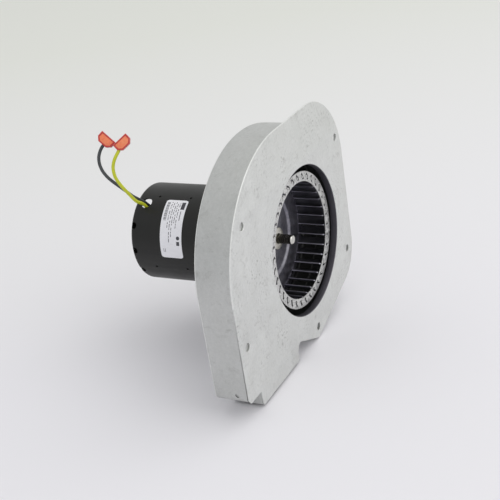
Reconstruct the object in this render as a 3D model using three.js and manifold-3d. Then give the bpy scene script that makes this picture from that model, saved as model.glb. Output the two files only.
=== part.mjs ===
// A combustion fan: the draft inducer of a gas furnace. A forward-curved wheel turns in a sheet-metal
// scroll, on the shaft of a shaded-pole motor that stands off the scroll on four spacers.
// Millimetres. The shaft is the Y axis. The inlet faces -Y, and y = 0 is the front face of the mounting
// plate. The motor is towards +Y, and the discharge points down, to -Z.
import * as THREE from "three";
import { mergeVertices } from "three/addons/utils/BufferGeometryUtils.js";
import Module from "manifold-3d";

const wasm = await Module();
wasm.setup();

// ---- driving dimensions ----

const SHEET = 1.2; // thickness of the plate and the scroll
const SEAT = 0.15; // gap left between parts that rest on each other
const SHAFT_R = 3.97;
const BORE_R = SHAFT_R + 0.08;

const PLATE = { inletR: 62.5, lipDepth: 6, holeR: 3.25 };
const OUTER_HOLES = [[78, 60.9], [76.6, -43.9], [0.4, -81.3]]; // beside the scroll
const PLATE_HOLES = [...OUTER_HOLES, [-99.6, 58.9], [-119.4, -31.2]];

const SCROLL = { front: SHEET + SEAT, rim: 31.4, rimRadius: 3, back: 39, shaftHoleR: 11, flange: 16 };
const BOSS = { baseR: 62.5, topR: 60.2 };
const COLLAR = { left: -109, right: -41.6, front: 1.5, back: 28.4, top: -70, bottom: -89.5, wall: 1 };

const WHEEL = { outerR: 57.15, innerR: 48.7, front: 4.6, back: 33.2, sheet: 0.8, blades: 36, blade: 0.7 };
const HUB = { r: 9.35, front: 25.8, flangeR: 13, flange: 2, neckR: 7.4, screwR: 1.6, screwY: 28.1 };

const CAN = { r: 42, wall: 1.4, front: 64, back: 146, edgeR: 3 };
const CAN_WINDOW = { innerR: 16, outerR: 34, halfAngle: 22, angles: [38, 98, 158, 218, 278, 338] };
const CAN_VENT = { r: 2.8, y: 143, angles: [0, 30, 150, 180, 210, 240, 270, 300, 330] };
const LEAD_HOLE = { r: 5, y: 135.5, angle: 120.8 };
const STACK = { front: 96, back: 124, r: 40.3, backIronR: 35, shoeR: 26.8, boreR: 22.6 };
const ROTOR_R = 22;
const STANDOFF = { circleR: 36, r: 3.5, boreR: 2.2, angles: [45, 135, 225, 315] };
const BOLT = { headR: 3.6, head: 1.9, shankR: 1.9, end: 67 };
const POLE_ANGLES = [45, 135, 225, 315];
const FAN = { r: 30, hubR: 8, blades: 8, bladeLength: 14, disc: 48.2, back: 57, sheet: 1 };
const LEAD_R = 1.4;

// ---- materials ----

function finish(color, roughness, metalness) {
  return new THREE.MeshStandardMaterial({ color, roughness, metalness });
}

const aluminisedSteel = finish(0xc6c8c4, 0.45, 0.85);
const blackPaint = finish(0x2c2c2a, 0.45, 0.1);
const castAluminium = finish(0x9c9fa2, 0.5, 0.9);
const bladeSteel = finish(0x8a8a90, 0.4, 0.9);
const turnedSteel = finish(0xb4b4b2, 0.3, 1);
const zincSteel = finish(0xb8b4a6, 0.35, 0.9);
const lamination = finish(0x55565a, 0.5, 0.8);
const copper = finish(0xa85a2e, 0.4, 0.8);
const bronze = finish(0x9a7440, 0.45, 0.8);
const fibre = finish(0x6e4a34, 0.8, 0);
const blackVinyl = finish(0x2f3235, 0.5, 0);
const yellowVinyl = finish(0xc4cc1e, 0.5, 0);
const orangeVinyl = finish(0xe9603c, 0.4, 0);
const tinnedBrass = finish(0xc8b480, 0.35, 0.9);
const labelPaper = finish(0xe4e4ea, 0.6, 0);

// ---- solids ----

const object = new THREE.Group();

function place(name, shape, material) {
  const geometry = shape.isBufferGeometry ? shape : toGeometry(shape);
  const mesh = new THREE.Mesh(geometry, material);
  mesh.name = name;
  object.add(mesh);
  return mesh;
}

// A closed geometry as a manifold-3d solid.
function toSolid(geometry) {
  const bare = geometry.clone();
  bare.deleteAttribute("normal");
  bare.deleteAttribute("uv");
  const merged = mergeVertices(bare, 1e-4);
  const corners = merged.index.array;
  const triangles = [];
  for (let i = 0; i < corners.length; i += 3) {
    const [a, b, c] = corners.subarray(i, i + 3);
    if (a !== b && b !== c && c !== a) triangles.push(a, b, c);
  }
  return new wasm.Manifold(new wasm.Mesh({
    numProp: 3,
    vertProperties: merged.attributes.position.array,
    triVerts: Uint32Array.from(triangles),
  }));
}

function toGeometry(solid) {
  const { vertProperties, triVerts } = solid.getMesh();
  const geometry = new THREE.BufferGeometry();
  geometry.setAttribute("position", new THREE.BufferAttribute(vertProperties, 3));
  geometry.setIndex(new THREE.BufferAttribute(triVerts, 1));
  geometry.computeVertexNormals();
  return geometry;
}

function cut(body, ...tools) {
  return tools.reduce((left, tool) => left.subtract(toSolid(tool)), toSolid(body));
}

function join(...bodies) {
  return bodies.map(toSolid).reduce((all, body) => all.add(body));
}

const radians = THREE.MathUtils.degToRad;

// A point in the plane across the shaft, from a radius and an angle in degrees from +X towards +Z.
function polar(radius, angle) {
  return new THREE.Vector2(radius * Math.cos(radians(angle)), radius * Math.sin(radians(angle)));
}

// Points along an arc, with chords that stay within tolerance of it.
function arc(centre, radius, from, to, tolerance = 0.2) {
  const step = 2 * Math.acos(1 - Math.min(tolerance / radius, 0.5));
  const count = Math.max(1, Math.ceil(Math.abs(radians(to - from)) / step));
  const points = [];
  for (let i = 0; i <= count; i += 1) {
    points.push(polar(radius, from + ((to - from) * i) / count).add(centre));
  }
  return points;
}

const AXIS = new THREE.Vector2(0, 0);

function circle(radius, sides, centre = AXIS) {
  return Array.from({ length: sides }, (_, i) => polar(radius, (360 * i) / sides).add(centre));
}

// A piece of a ring between two radii and two angles.
function sector(innerR, outerR, from, to, tolerance) {
  return [...arc(AXIS, outerR, from, to, tolerance), ...arc(AXIS, innerR, to, from, tolerance)];
}

// The outline through corners [x, z, radius], each corner rounded by an arc of its radius.
function rounded(corners) {
  const points = corners.flatMap(([x, z, radius], i) => {
    const corner = new THREE.Vector2(x, z);
    if (!radius) return [corner];
    const [lastX, lastZ] = corners.at(i - 1);
    const [nextX, nextZ] = corners[(i + 1) % corners.length];
    const back = new THREE.Vector2(lastX, lastZ).sub(corner).normalize();
    const ahead = new THREE.Vector2(nextX, nextZ).sub(corner).normalize();
    const half = Math.acos(back.dot(ahead)) / 2;
    const middle = back.clone().add(ahead).normalize();
    const centre = corner.clone().addScaledVector(middle, radius / Math.sin(half));
    const start = corner.clone().addScaledVector(back, radius / Math.tan(half)).sub(centre);
    const sweep = Math.sign(back.cross(ahead)) * (2 * half - Math.PI);
    const from = THREE.MathUtils.radToDeg(start.angle());
    return arc(centre, radius, from, from + THREE.MathUtils.radToDeg(sweep));
  });
  return points.filter((point, i) => point.distanceTo(points.at(i - 1)) > 0.05);
}

// The same counter-clockwise corners, moved inwards by a distance.
function inset(corners, distance) {
  return corners.map(([x, z, radius], i) => {
    const [lastX, lastZ] = corners.at(i - 1);
    const [nextX, nextZ] = corners[(i + 1) % corners.length];
    const before = new THREE.Vector2(x - lastX, z - lastZ).normalize();
    const after = new THREE.Vector2(nextX - x, nextZ - z).normalize();
    const share = distance / (1 + before.dot(after));
    const shrink = before.cross(after) > 0 ? -distance : distance;
    return [
      x - (before.y + after.y) * share,
      z + (before.x + after.x) * share,
      Math.max(radius + shrink, 0),
    ];
  });
}

// An outline in x and z, extruded along the shaft from y0 to y1. Both its ends are rounded by edgeR.
function slab(outline, y0, y1, edgeR = 0) {
  const geometry = new THREE.ExtrudeGeometry(new THREE.Shape(outline), {
    depth: y1 - y0 - 2 * edgeR,
    bevelEnabled: edgeR > 0,
    bevelThickness: edgeR,
    bevelSize: edgeR,
    bevelOffset: -edgeR,
    bevelSegments: 2,
  });
  return geometry.rotateX(Math.PI / 2).translate(0, y1 - edgeR, 0);
}

// A body turned about the shaft from a closed profile of [radius, y] points.
function turned(profile, sides = 24) {
  const points = profile.map(([r, y]) => new THREE.Vector2(r, y));
  if (THREE.ShapeUtils.area(points) < 0) points.reverse();
  return new THREE.LatheGeometry([...points, points[0]], sides);
}

function tube(innerR, outerR, y0, y1, sides = 24) {
  return turned([[innerR, y0], [outerR, y0], [outerR, y1], [innerR, y1]], sides);
}

// A solid rod along the shaft direction, through a point across it.
function rod(radius, y0, y1, centre = AXIS, sides = 12) {
  const geometry = new THREE.CylinderGeometry(radius, radius, y1 - y0, sides);
  return geometry.translate(centre.x, (y0 + y1) / 2, centre.y);
}

// A solid rod that points away from the shaft at an angle, between two radii.
function radialRod(radius, innerR, outerR, y, angle, sides = 12) {
  const geometry = new THREE.CylinderGeometry(radius, radius, outerR - innerR, sides);
  geometry.rotateZ(-Math.PI / 2).translate((innerR + outerR) / 2, 0, 0);
  return geometry.rotateY(-radians(angle)).translate(0, y, 0);
}

// ---- scroll housing ----

const PLATE_CORNERS = [
  [-130, 107, 100],
  [-130, -72.5, 2],
  [-127.4, -76.4, 2],
  [-110.6, -76.4, 0],
  [-109, -89.5, 0],
  [-42.2, -89.5, 0],
  [-41.8, -81, 0],
  [-40.6, -80, 0],
  [-40.4, -73.6, 4],
  [-1, -91.5, 1],
  [89, -61.7, 35],
  [89, 107, 62],
];

// The scroll's flange follows the plate, without the plate's tab in front of the collar.
const FLANGE_CORNERS = [
  ...PLATE_CORNERS.slice(0, 3),
  [-40.6, -76.4, 0],
  [-40.4, -73.6, 1],
  ...PLATE_CORNERS.slice(9),
];

// The scroll's wall line. It grows from the cut-off, at the lower middle, round to the discharge.
const SCROLL_CORNERS = [
  [-129, -75.6, 3.4],
  [-40, -75.6, 3.4],
  [-40, -50.5, 4],
  [-15.6, -74, 58],
  [84, -74, 66],
  [84, 105.8, 113.8],
  [-129, 105.8, 98],
];

function mountingPlate() {
  const outline = rounded(PLATE_CORNERS).reverse();
  const holes = PLATE_HOLES.map(([x, z]) => rod(PLATE.holeR, -1, SHEET + 1, new THREE.Vector2(x, z)));
  const lipR = PLATE.inletR + SHEET;
  const disc = cut(slab(outline, 0, SHEET), rod(PLATE.inletR, -1, SHEET + 1, AXIS, 60), ...holes);
  return disc.add(toSolid(tube(PLATE.inletR, lipR, SHEET / 2, PLATE.lipDepth, 60)));
}

// The drawn boss in the back wall that gives the wheel its room. depth is the sheet's place in it.
function bossBody(depth) {
  const { rim, back } = SCROLL;
  return turned([
    [0, rim - depth - 1],
    [BOSS.baseR - depth, rim - depth - 1],
    [BOSS.baseR - depth, rim - depth],
    [BOSS.topR - depth, back - depth - 1.5],
    [BOSS.topR - depth - 1.5, back - depth],
    [0, back - depth],
  ], 48);
}

// A cup with a boss in its back. A flange at its front lies behind the plate, inside and outside the wall.
function scrollHousing() {
  const { front, rim, rimRadius, back, shaftHoleR } = SCROLL;
  const lead = 20;
  const outside = slab(rounded(SCROLL_CORNERS), front - lead, rim, rimRadius);
  const flange = slab(rounded(inset(FLANGE_CORNERS, 0.6)), front, front + SHEET);
  const wallCorners = inset(SCROLL_CORNERS, SHEET);
  const inside = slab(rounded(wallCorners), front + SHEET, rim - SHEET, rimRadius - SHEET - 0.5);
  const mouth = slab(rounded(inset(SCROLL_CORNERS, SCROLL.flange)), front - 1, front + SHEET + 1);
  const inletGap = rod(PLATE.inletR + 3.5, front - 1, front + SHEET + 1, AXIS, 48);
  const open = new THREE.BoxGeometry(400, lead + 1, 400).translate(0, front - (lead + 1) / 2, 0);
  const width = COLLAR.right - COLLAR.left + 2 * SEAT;
  const depth = COLLAR.back - COLLAR.front + 2 * SEAT;
  const height = COLLAR.top + 1 - COLLAR.bottom;
  const outlet = new THREE.BoxGeometry(width, depth, height).translate(
    (COLLAR.left + COLLAR.right) / 2,
    (COLLAR.front + COLLAR.back) / 2,
    COLLAR.bottom + height / 2,
  );
  const screwHoles = OUTER_HOLES.map(([x, z]) => rod(PLATE.holeR, 0, 4, new THREE.Vector2(x, z)));
  const bolts = STANDOFF.angles.map((angle) => {
    return rod(STANDOFF.boreR, rim, back + 1, polar(STANDOFF.circleR, angle), 8);
  });
  const shaftHole = rod(shaftHoleR, rim, back + 1, AXIS, 24);
  const skin = toGeometry(join(outside, flange, bossBody(0)));
  const hollow = [inside, bossBody(SHEET), mouth, inletGap, open, outlet];
  return cut(skin, ...hollow, shaftHole, ...bolts, ...screwHoles);
}

function outletCollar() {
  const { left, right, front, back, top, bottom, wall } = COLLAR;
  const height = top - bottom;
  const outside = new THREE.BoxGeometry(right - left, back - front, height);
  const inside = new THREE.BoxGeometry(right - left - 2 * wall, back - front - 2 * wall, height + 2);
  const middle = [(left + right) / 2, (front + back) / 2, (top + bottom) / 2];
  return cut(outside.translate(...middle), inside.translate(...middle));
}

place("mounting_plate", mountingPlate(), aluminisedSteel);
place("scroll_housing", scrollHousing(), aluminisedSteel);
place("outlet_collar", outletCollar(), aluminisedSteel);

// ---- fan wheel ----

// One blade's section: a thin arc from the wheel's inner radius to its outer radius. It enters nearly
// radially and its tip leans forward, in the direction of rotation.
function bladeSection(angle) {
  const inner = WHEEL.innerR + 0.4;
  const outer = WHEEL.outerR - 1;
  const bends = [0, 1.6, 6];
  const last = bends.length - 1;
  const middle = bends.map((lean, i) => polar(inner + ((outer - inner) * i) / last, angle + lean));
  const side = (sign) => middle.map((point, i) => {
    const ahead = middle[Math.min(i + 1, last)].clone().sub(middle[Math.max(i - 1, 0)]).normalize();
    const offset = new THREE.Vector2(-ahead.y, ahead.x).multiplyScalar((sign * WHEEL.blade) / 2);
    return point.clone().add(offset);
  });
  return [...side(-1), ...side(1).reverse()];
}

// The blades are one punched strip, with a band along each end.
function bladeStrip() {
  const { front, back, blades, sheet } = WHEEL;
  const bandFront = front + sheet + SEAT;
  const bandBack = back - sheet - SEAT;
  const band = (y) => tube(WHEEL.innerR + 1, WHEEL.outerR - 0.6, y, y + sheet, blades);
  const parts = [band(bandFront), band(bandBack - sheet)];
  for (let i = 0; i < blades; i += 1) {
    parts.push(slab(bladeSection((360 * i) / blades), bandFront + 0.3, bandBack - 0.3));
  }
  return join(...parts);
}

const DISH = { innerR: 33, outerR: 38, drop: 1.8 };

function wheelBackPlate() {
  const { outerR, back, sheet } = WHEEL;
  const middle = back + DISH.drop;
  const face = [[HUB.neckR + 0.1, middle], [DISH.innerR, middle], [DISH.outerR, back], [outerR, back]];
  const front = face.map(([r, y]) => [r, y - sheet]).reverse();
  return turned([...face, ...front], 42);
}

// The hub's neck goes through the back plate, and its flange holds the plate from behind.
function wheelHub() {
  const gap = 0.1;
  const seat = WHEEL.back + DISH.drop - WHEEL.sheet - gap;
  const flange = WHEEL.back + DISH.drop + gap;
  const body = turned([
    [BORE_R, HUB.front],
    [HUB.r - 0.8, HUB.front],
    [HUB.r, HUB.front + 0.8],
    [HUB.r, seat],
    [HUB.neckR, seat],
    [HUB.neckR, flange],
    [HUB.flangeR, flange],
    [HUB.flangeR, flange + HUB.flange],
    [BORE_R, flange + HUB.flange],
  ]);
  return cut(body, radialRod(HUB.screwR + SEAT, BORE_R - 1, HUB.r + 1, HUB.screwY, 90, 10));
}

function setScrew() {
  return radialRod(HUB.screwR, BORE_R + 0.1, HUB.r - 0.6, HUB.screwY, 90, 10);
}

function wheelFrontRing() {
  return tube(WHEEL.innerR, WHEEL.outerR, WHEEL.front, WHEEL.front + WHEEL.sheet, 42);
}

place("wheel_front_ring", wheelFrontRing(), aluminisedSteel);
place("wheel_blades", bladeStrip(), bladeSteel);
place("wheel_back_plate", wheelBackPlate(), bladeSteel);
place("wheel_hub", wheelHub(), zincSteel);
place("wheel_set_screw", setScrew(), lamination);

// ---- motor: shell and end bell ----

const PILOT_R = 9.6; // radius of the pocket that each bearing sits in
const POCKET_DEPTH = 10;

function motorShell() {
  const { r, wall, front, back, edgeR } = CAN;
  const edge = arc(new THREE.Vector2(r - edgeR, back - edgeR), edgeR, 0, 90, 0.4).map((p) => [p.x, p.y]);
  const inner = edgeR - wall;
  const bottom = back - wall;
  const shell = turned([
    [r, front],
    ...edge,
    [0, back],
    [0, bottom],
    [PILOT_R, bottom],
    [PILOT_R, back - POCKET_DEPTH],
    [PILOT_R + wall, back - POCKET_DEPTH],
    [PILOT_R + wall, bottom],
    [r - wall - inner, bottom],
    [r - wall, bottom - inner],
    [r - wall, front],
  ], 48);
  const windows = CAN_WINDOW.angles.map((angle) => {
    const { innerR, outerR, halfAngle } = CAN_WINDOW;
    return slab(sector(innerR, outerR, angle - halfAngle, angle + halfAngle), back - 3, back + 1);
  });
  const hole = (radius, y, angle, sides) => radialRod(radius, r - 6, r + 2, y, angle, sides);
  const vents = CAN_VENT.angles.map((angle) => hole(CAN_VENT.r, CAN_VENT.y, angle, 8));
  return cut(shell, ...windows, ...vents, hole(LEAD_HOLE.r, LEAD_HOLE.y, LEAD_HOLE.angle, 20));
}

const BELL = { face: 61.6, pocketFront: 58, pocketBack: 72, pilotBack: 69, floor: 1.5 };
const BELL_WINDOW = { innerR: 17, outerR: 30, halfAngle: 28, angles: [0, 90, 180, 270] };

function frontEndBell() {
  const rim = CAN.front - SEAT;
  const body = turned([
    [SHAFT_R + 1.2, BELL.pocketFront],
    [PILOT_R + 2, BELL.pocketFront],
    [PILOT_R + 3, BELL.face],
    [CAN.r - 1, BELL.face],
    [CAN.r, BELL.face + 1],
    [CAN.r, rim],
    [CAN.r - CAN.wall - SEAT, rim],
    [CAN.r - CAN.wall - SEAT, BELL.pilotBack],
    [CAN.r - CAN.wall - 2, BELL.pilotBack],
    [CAN.r - CAN.wall - 2, rim],
    [PILOT_R + 2, rim],
    [PILOT_R + 2, BELL.pocketBack],
    [PILOT_R, BELL.pocketBack],
    [PILOT_R, BELL.pocketFront + BELL.floor],
    [SHAFT_R + 1.2, BELL.pocketFront + BELL.floor],
  ], 36);
  const windows = BELL_WINDOW.angles.map((angle) => {
    const { innerR, outerR, halfAngle } = BELL_WINDOW;
    return slab(sector(innerR, outerR, angle - halfAngle, angle + halfAngle), BELL.face - 5, rim + 2);
  });
  const threads = STANDOFF.angles.map((angle) => {
    return rod(BOLT.shankR + 0.2, BELL.face - 3, rim + 4, polar(STANDOFF.circleR, angle), 8);
  });
  return cut(body, ...windows, ...threads);
}

// A self-aligning sleeve bearing, barrel shaped, centred at y.
function sleeveBearing(y, length) {
  const r = PILOT_R - 0.1;
  const half = length / 2;
  return turned([
    [BORE_R, y - half],
    [r - 2.6, y - half],
    [r - 0.5, y - half / 2],
    [r, y],
    [r - 0.5, y + half / 2],
    [r - 2.6, y + half],
    [BORE_R, y + half],
  ]);
}

const LABEL = { from: 115, to: 185, front: 95, back: 116 };
const BEARING = { length: 7.6, frontY: 65, rearY: 140.6 };
const RETAINER = { innerR: 6.4, sheet: 0.6, frontY: 72.2, rearY: 135.2 };

// A spring washer that keeps a bearing in its pocket.
function bearingRetainer(y, outerR) {
  return tube(RETAINER.innerR, outerR, y, y + RETAINER.sheet);
}

place("motor_shell", motorShell(), blackPaint);
place("front_end_bell", frontEndBell(), castAluminium);
place("front_bearing", sleeveBearing(BEARING.frontY, BEARING.length), bronze);
place("rear_bearing", sleeveBearing(BEARING.rearY, BEARING.length), bronze);
place("front_bearing_retainer", bearingRetainer(RETAINER.frontY, PILOT_R + 1.8), zincSteel);
place("rear_bearing_retainer", bearingRetainer(RETAINER.rearY, PILOT_R + 1.2), zincSteel);
place(
  "rating_label",
  slab(sector(CAN.r + 0.1, CAN.r + 0.3, LABEL.from, LABEL.to, 0.04), LABEL.front, LABEL.back),
  labelPaper,
);

// ---- motor: stator ----

const NECK_HALF = 8; // half the width of a pole's neck, which its coil goes round
const SHOE_HALF = 40; // half the angle that a pole's shoe spans
const SHADE = { from: 21, to: 43.4, innerR: 23, outerR: 25, bar: 3.2 };

// The space between two poles, round the direction midway between them.
function slotOutline(angle) {
  const gap = 45 - SHOE_HALF;
  const neckAngle = (r) => 45 - THREE.MathUtils.radToDeg(Math.asin(NECK_HALF / r));
  const half = (sign) => [
    polar(STACK.boreR - 2, angle + sign * gap),
    ...arc(AXIS, STACK.shoeR, angle + sign * gap, angle + sign * neckAngle(STACK.shoeR)),
  ];
  const floor = neckAngle(STACK.backIronR);
  const bottom = arc(AXIS, STACK.backIronR, angle + floor, angle - floor);
  return [...half(1), ...bottom, ...half(-1).reverse()].reverse();
}

function statorCore() {
  const through = (outline) => slab(outline, STACK.front - 1, STACK.back + 1);
  const slots = POLE_ANGLES.map((angle) => through(slotOutline(angle - 45)));
  const slits = POLE_ANGLES.map((angle) => {
    const from = angle + SHADE.from - 0.5;
    return through(sector(STACK.boreR - 2, SHADE.outerR + 0.3, from, from + SHADE.bar + 1));
  });
  return cut(tube(STACK.boreR, STACK.r, STACK.front, STACK.back, 48), ...slots, ...slits);
}

// A copper band round the trailing part of a pole's shoe.
function shadingRing(angle) {
  const { from, to, innerR, outerR, bar } = SHADE;
  const start = STACK.front - 0.3;
  const end = STACK.back + 0.3;
  const outside = slab(sector(innerR, outerR, angle + from, angle + to), start - 1.3, end + 1.3);
  const window = sector(innerR - 1, outerR + 1, angle + from + bar, angle + to - bar);
  return cut(outside, slab(window, start, end));
}

// Half the width and length of a coil and of the opening in it, and its depth.
const COIL = { width: 13.6, length: 20.4, innerWidth: 8.4, innerLength: 14.6, cornerR: 4.5, depth: 4.8 };

// A coil round the neck of the pole at an angle.
function placeCoil(name, angle) {
  const loop = (w, l, r) => rounded([[-w, -l, r], [w, -l, r], [w, l, r], [-w, l, r]]);
  const outline = new THREE.Shape(loop(COIL.width, COIL.length, COIL.cornerR));
  outline.holes.push(new THREE.Path(loop(COIL.innerWidth, COIL.innerLength, 0)));
  const geometry = new THREE.ExtrudeGeometry(outline, { depth: COIL.depth, bevelEnabled: false });
  geometry.rotateZ(Math.PI / 2).rotateY(Math.PI / 2);
  const coil = place(name, geometry.rotateX(Math.PI / 2).translate(STACK.shoeR + 0.4, 0, 0), copper);
  coil.rotation.y = -radians(angle);
  coil.position.y = (STACK.front + STACK.back) / 2;
}

place("stator_core", statorCore(), lamination);
POLE_ANGLES.forEach((angle, i) => {
  placeCoil(`stator_coil_${i + 1}`, angle);
  place(`shading_ring_${i + 1}`, shadingRing(angle), copper);
});

// ---- motor: rotor and shaft ----

const SHAFT = { front: 12.5, back: 143, chamfer: 0.6 };
const END_RING = { innerR: 13, outerR: ROTOR_R - 1, length: 5 };
const THRUST_WASHER = { r: 6, thickness: 1.2, frontY: 74.2, rearY: 133.2 };

function shaft() {
  const { front, back, chamfer } = SHAFT;
  return turned([
    [0, front],
    [SHAFT_R - chamfer, front],
    [SHAFT_R, front + chamfer],
    [SHAFT_R, back - chamfer],
    [SHAFT_R - chamfer, back],
    [0, back],
  ]);
}

function endRing(y) {
  return tube(END_RING.innerR, END_RING.outerR, y, y + END_RING.length, 36);
}

function thrustWasher(y) {
  return tube(BORE_R, THRUST_WASHER.r, y, y + THRUST_WASHER.thickness);
}

// A pressed disc with blades bent up from it towards the motor, on a hub.
function coolingFan() {
  const { r, disc, back, sheet, hubR, bladeLength } = FAN;
  const hub = tube(BORE_R, hubR, disc - 3, back - 1);
  const plate = tube(hubR - 1, r, disc, disc + sheet, 32);
  const foot = disc + sheet / 2;
  const blades = Array.from({ length: FAN.blades }, (_, i) => {
    const blade = new THREE.BoxGeometry(bladeLength, back - foot, sheet);
    blade.translate(r - 1 - bladeLength / 2, (foot + back) / 2, 0);
    return blade.rotateY(radians((360 * i) / FAN.blades));
  });
  return join(hub, plate, ...blades);
}

place("shaft", shaft(), turnedSteel);
place("rotor_core", tube(BORE_R, ROTOR_R, STACK.front, STACK.back, 36), lamination);
place("rotor_end_ring_front", endRing(STACK.front - END_RING.length - 0.1), castAluminium);
place("rotor_end_ring_rear", endRing(STACK.back + 0.1), castAluminium);
place("thrust_washer_front", thrustWasher(THRUST_WASHER.frontY), fibre);
place("thrust_washer_rear", thrustWasher(THRUST_WASHER.rearY), fibre);
place("cooling_fan", coolingFan(), castAluminium);

// ---- standoffs and bolts between the scroll and the motor ----

function mountingBolt(centre) {
  const seat = SCROLL.back - SHEET - SEAT;
  const head = rod(BOLT.headR, seat - BOLT.head, seat, centre);
  return join(head, rod(BOLT.shankR, seat - 0.5, BOLT.end, centre, 8));
}

function standoff(centre) {
  const body = rod(STANDOFF.r, SCROLL.back + SEAT, BELL.face - SEAT, centre);
  return cut(body, rod(STANDOFF.boreR, SCROLL.back, BELL.face, centre, 8));
}

STANDOFF.angles.forEach((angle, i) => {
  const centre = polar(STANDOFF.circleR, angle);
  place(`standoff_${i + 1}`, standoff(centre), zincSteel);
  place(`mounting_bolt_${i + 1}`, mountingBolt(centre), zincSteel);
});

// ---- leads and their flag terminals ----

// Each lead starts at the coils, leaves through the hole in the shell and stands up behind the motor.
const BLACK_ROUTE = [
  [-12, 134, 21],
  [-15, 134.6, 26],
  [-18.2, 135.9, 31.6],
  [-21.3, 137.6, 36.2],
  [-24.8, 140.2, 40.3],
  [-28.2, 143.4, 44.6],
  [-30.3, 146.6, 49],
  [-32.6, 150, 53.8],
  [-35.3, 153.9, 59.2],
  [-37.2, 157.7, 64.4],
  [-37.9, 160.8, 69.4],
  [-37.6, 162.8, 73.5],
  [-36.5, 164.2, 77.4],
  [-34.8, 164.9, 81.2],
  [-32.6, 164.8, 84.6],
  [-30.2, 164, 87.6],
  [-27.8, 162, 90.7],
];
const YELLOW_ROUTE = [
  [-20, 132.6, 18],
  [-20.8, 133.6, 23],
  [-21.5, 134.7, 28.7],
  [-23.2, 136, 33.8],
  [-26.3, 137.4, 37.6],
  [-30.2, 139, 40.8],
  [-32.5, 140.4, 44.6],
  [-34.4, 142.2, 49.2],
  [-36.2, 144.8, 54.6],
  [-37.3, 147.4, 59.6],
  [-37.8, 149.6, 64.6],
  [-37.4, 150.8, 69.4],
  [-36.2, 151.3, 73.8],
  [-34.2, 150.8, 78],
  [-32, 149.6, 81.6],
  [-29.6, 148, 84.8],
  [-28.5, 147.3, 86.3],
];

function lead(route) {
  const path = new THREE.CatmullRomCurve3(route.map((point) => new THREE.Vector3(...point)));
  const section = new THREE.Shape(circle(LEAD_R, 8));
  return new THREE.ExtrudeGeometry(section, { steps: 24, bevelEnabled: false, extrudePath: path });
}

const TERMINAL = { length: 14.6, height: 8.6, thickness: 5, chamfer: 3.2 };
const LEAD_BORE = { radius: LEAD_R + 0.3, length: 8, beyond: 0.4 };

// The bore that the end of a lead sits in.
function leadBore(route, toLocal) {
  const [start, end] = route.slice(-2).map((point) => new THREE.Vector3(...point).applyMatrix4(toLocal));
  const inwards = end.clone().sub(start).normalize();
  const turn = new THREE.Quaternion().setFromUnitVectors(new THREE.Vector3(0, 1, 0), inwards);
  const { radius, length, beyond } = LEAD_BORE;
  const middle = end.clone().addScaledVector(inwards, beyond - length / 2);
  const bore = new THREE.CylinderGeometry(radius, radius, length, 10).applyQuaternion(turn);
  return bore.translate(middle.x, middle.y, middle.z);
}

// The insulator is a flat box with two corners cut off, and `along` is its length. The tab that it grips
// enters at the end that `along` points to.
function placeTerminal(name, route, { centre, along, up }) {
  const { length, height, thickness, chamfer } = TERMINAL;
  const x = new THREE.Vector3(...along).normalize();
  const z = new THREE.Vector3().crossVectors(x, new THREE.Vector3(...up)).normalize();
  const frame = new THREE.Matrix4().makeBasis(x, new THREE.Vector3().crossVectors(z, x), z);
  frame.setPosition(...centre);
  const entry = leadBore(route, frame.clone().invert());
  const half = length / 2;
  const outline = [
    [half, height / 2],
    [-half, height / 2],
    [-half, chamfer - height / 2],
    [chamfer - half, -height / 2],
    [half - chamfer, -height / 2],
    [half, chamfer - height / 2],
  ].map(([u, v]) => new THREE.Vector2(u, v));
  const shape = new THREE.Shape(outline);
  const body = new THREE.ExtrudeGeometry(shape, { depth: thickness, bevelEnabled: false });
  const mouth = new THREE.BoxGeometry(length, 6.9, 2.2).translate(2, 0.4, 0);
  const cover = place(name, cut(body.translate(0, 0, -thickness / 2), mouth, entry), orangeVinyl);
  const receptacle = new THREE.BoxGeometry(length - 3.4, 6.3, 1.6).translate(1.1, 0.4, 0);
  const grip = new THREE.BoxGeometry(length, 4.9, 0.9).translate(4, 0.4, 0);
  const metal = place(name.replace("terminal", "receptacle"), cut(receptacle, grip, entry), tinnedBrass);
  [cover, metal].forEach((mesh) => mesh.applyMatrix4(frame));
}

place("lead_black", lead(BLACK_ROUTE), blackVinyl);
place("lead_yellow", lead(YELLOW_ROUTE), yellowVinyl);

const BLACK_FLAG = { centre: [-25.8, 160.9, 93.2], along: [0.04, -0.71, -0.7], up: [0.62, -0.53, 0.57] };
const YELLOW_FLAG = { centre: [-24.6, 144.8, 90.8], along: [-0.62, 0.59, -0.52], up: [0.01, 0.67, 0.75] };

placeTerminal("terminal_black", BLACK_ROUTE, BLACK_FLAG);
placeTerminal("terminal_yellow", YELLOW_ROUTE, YELLOW_FLAG);

export default object;
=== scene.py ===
"""Looks for the combustion fan: a furnace draft inducer with a sheet-metal scroll and a black motor.

Lengths below are in millimetres in the CAD frame (the shaft is the Y axis, the inlet faces -Y and the
discharge points to -Z) and are turned into metres where a mesh is made.
"""

import math

import bmesh
import bpy
from mathutils import Matrix, Vector
from mathutils.geometry import tessellate_polygon


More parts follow.
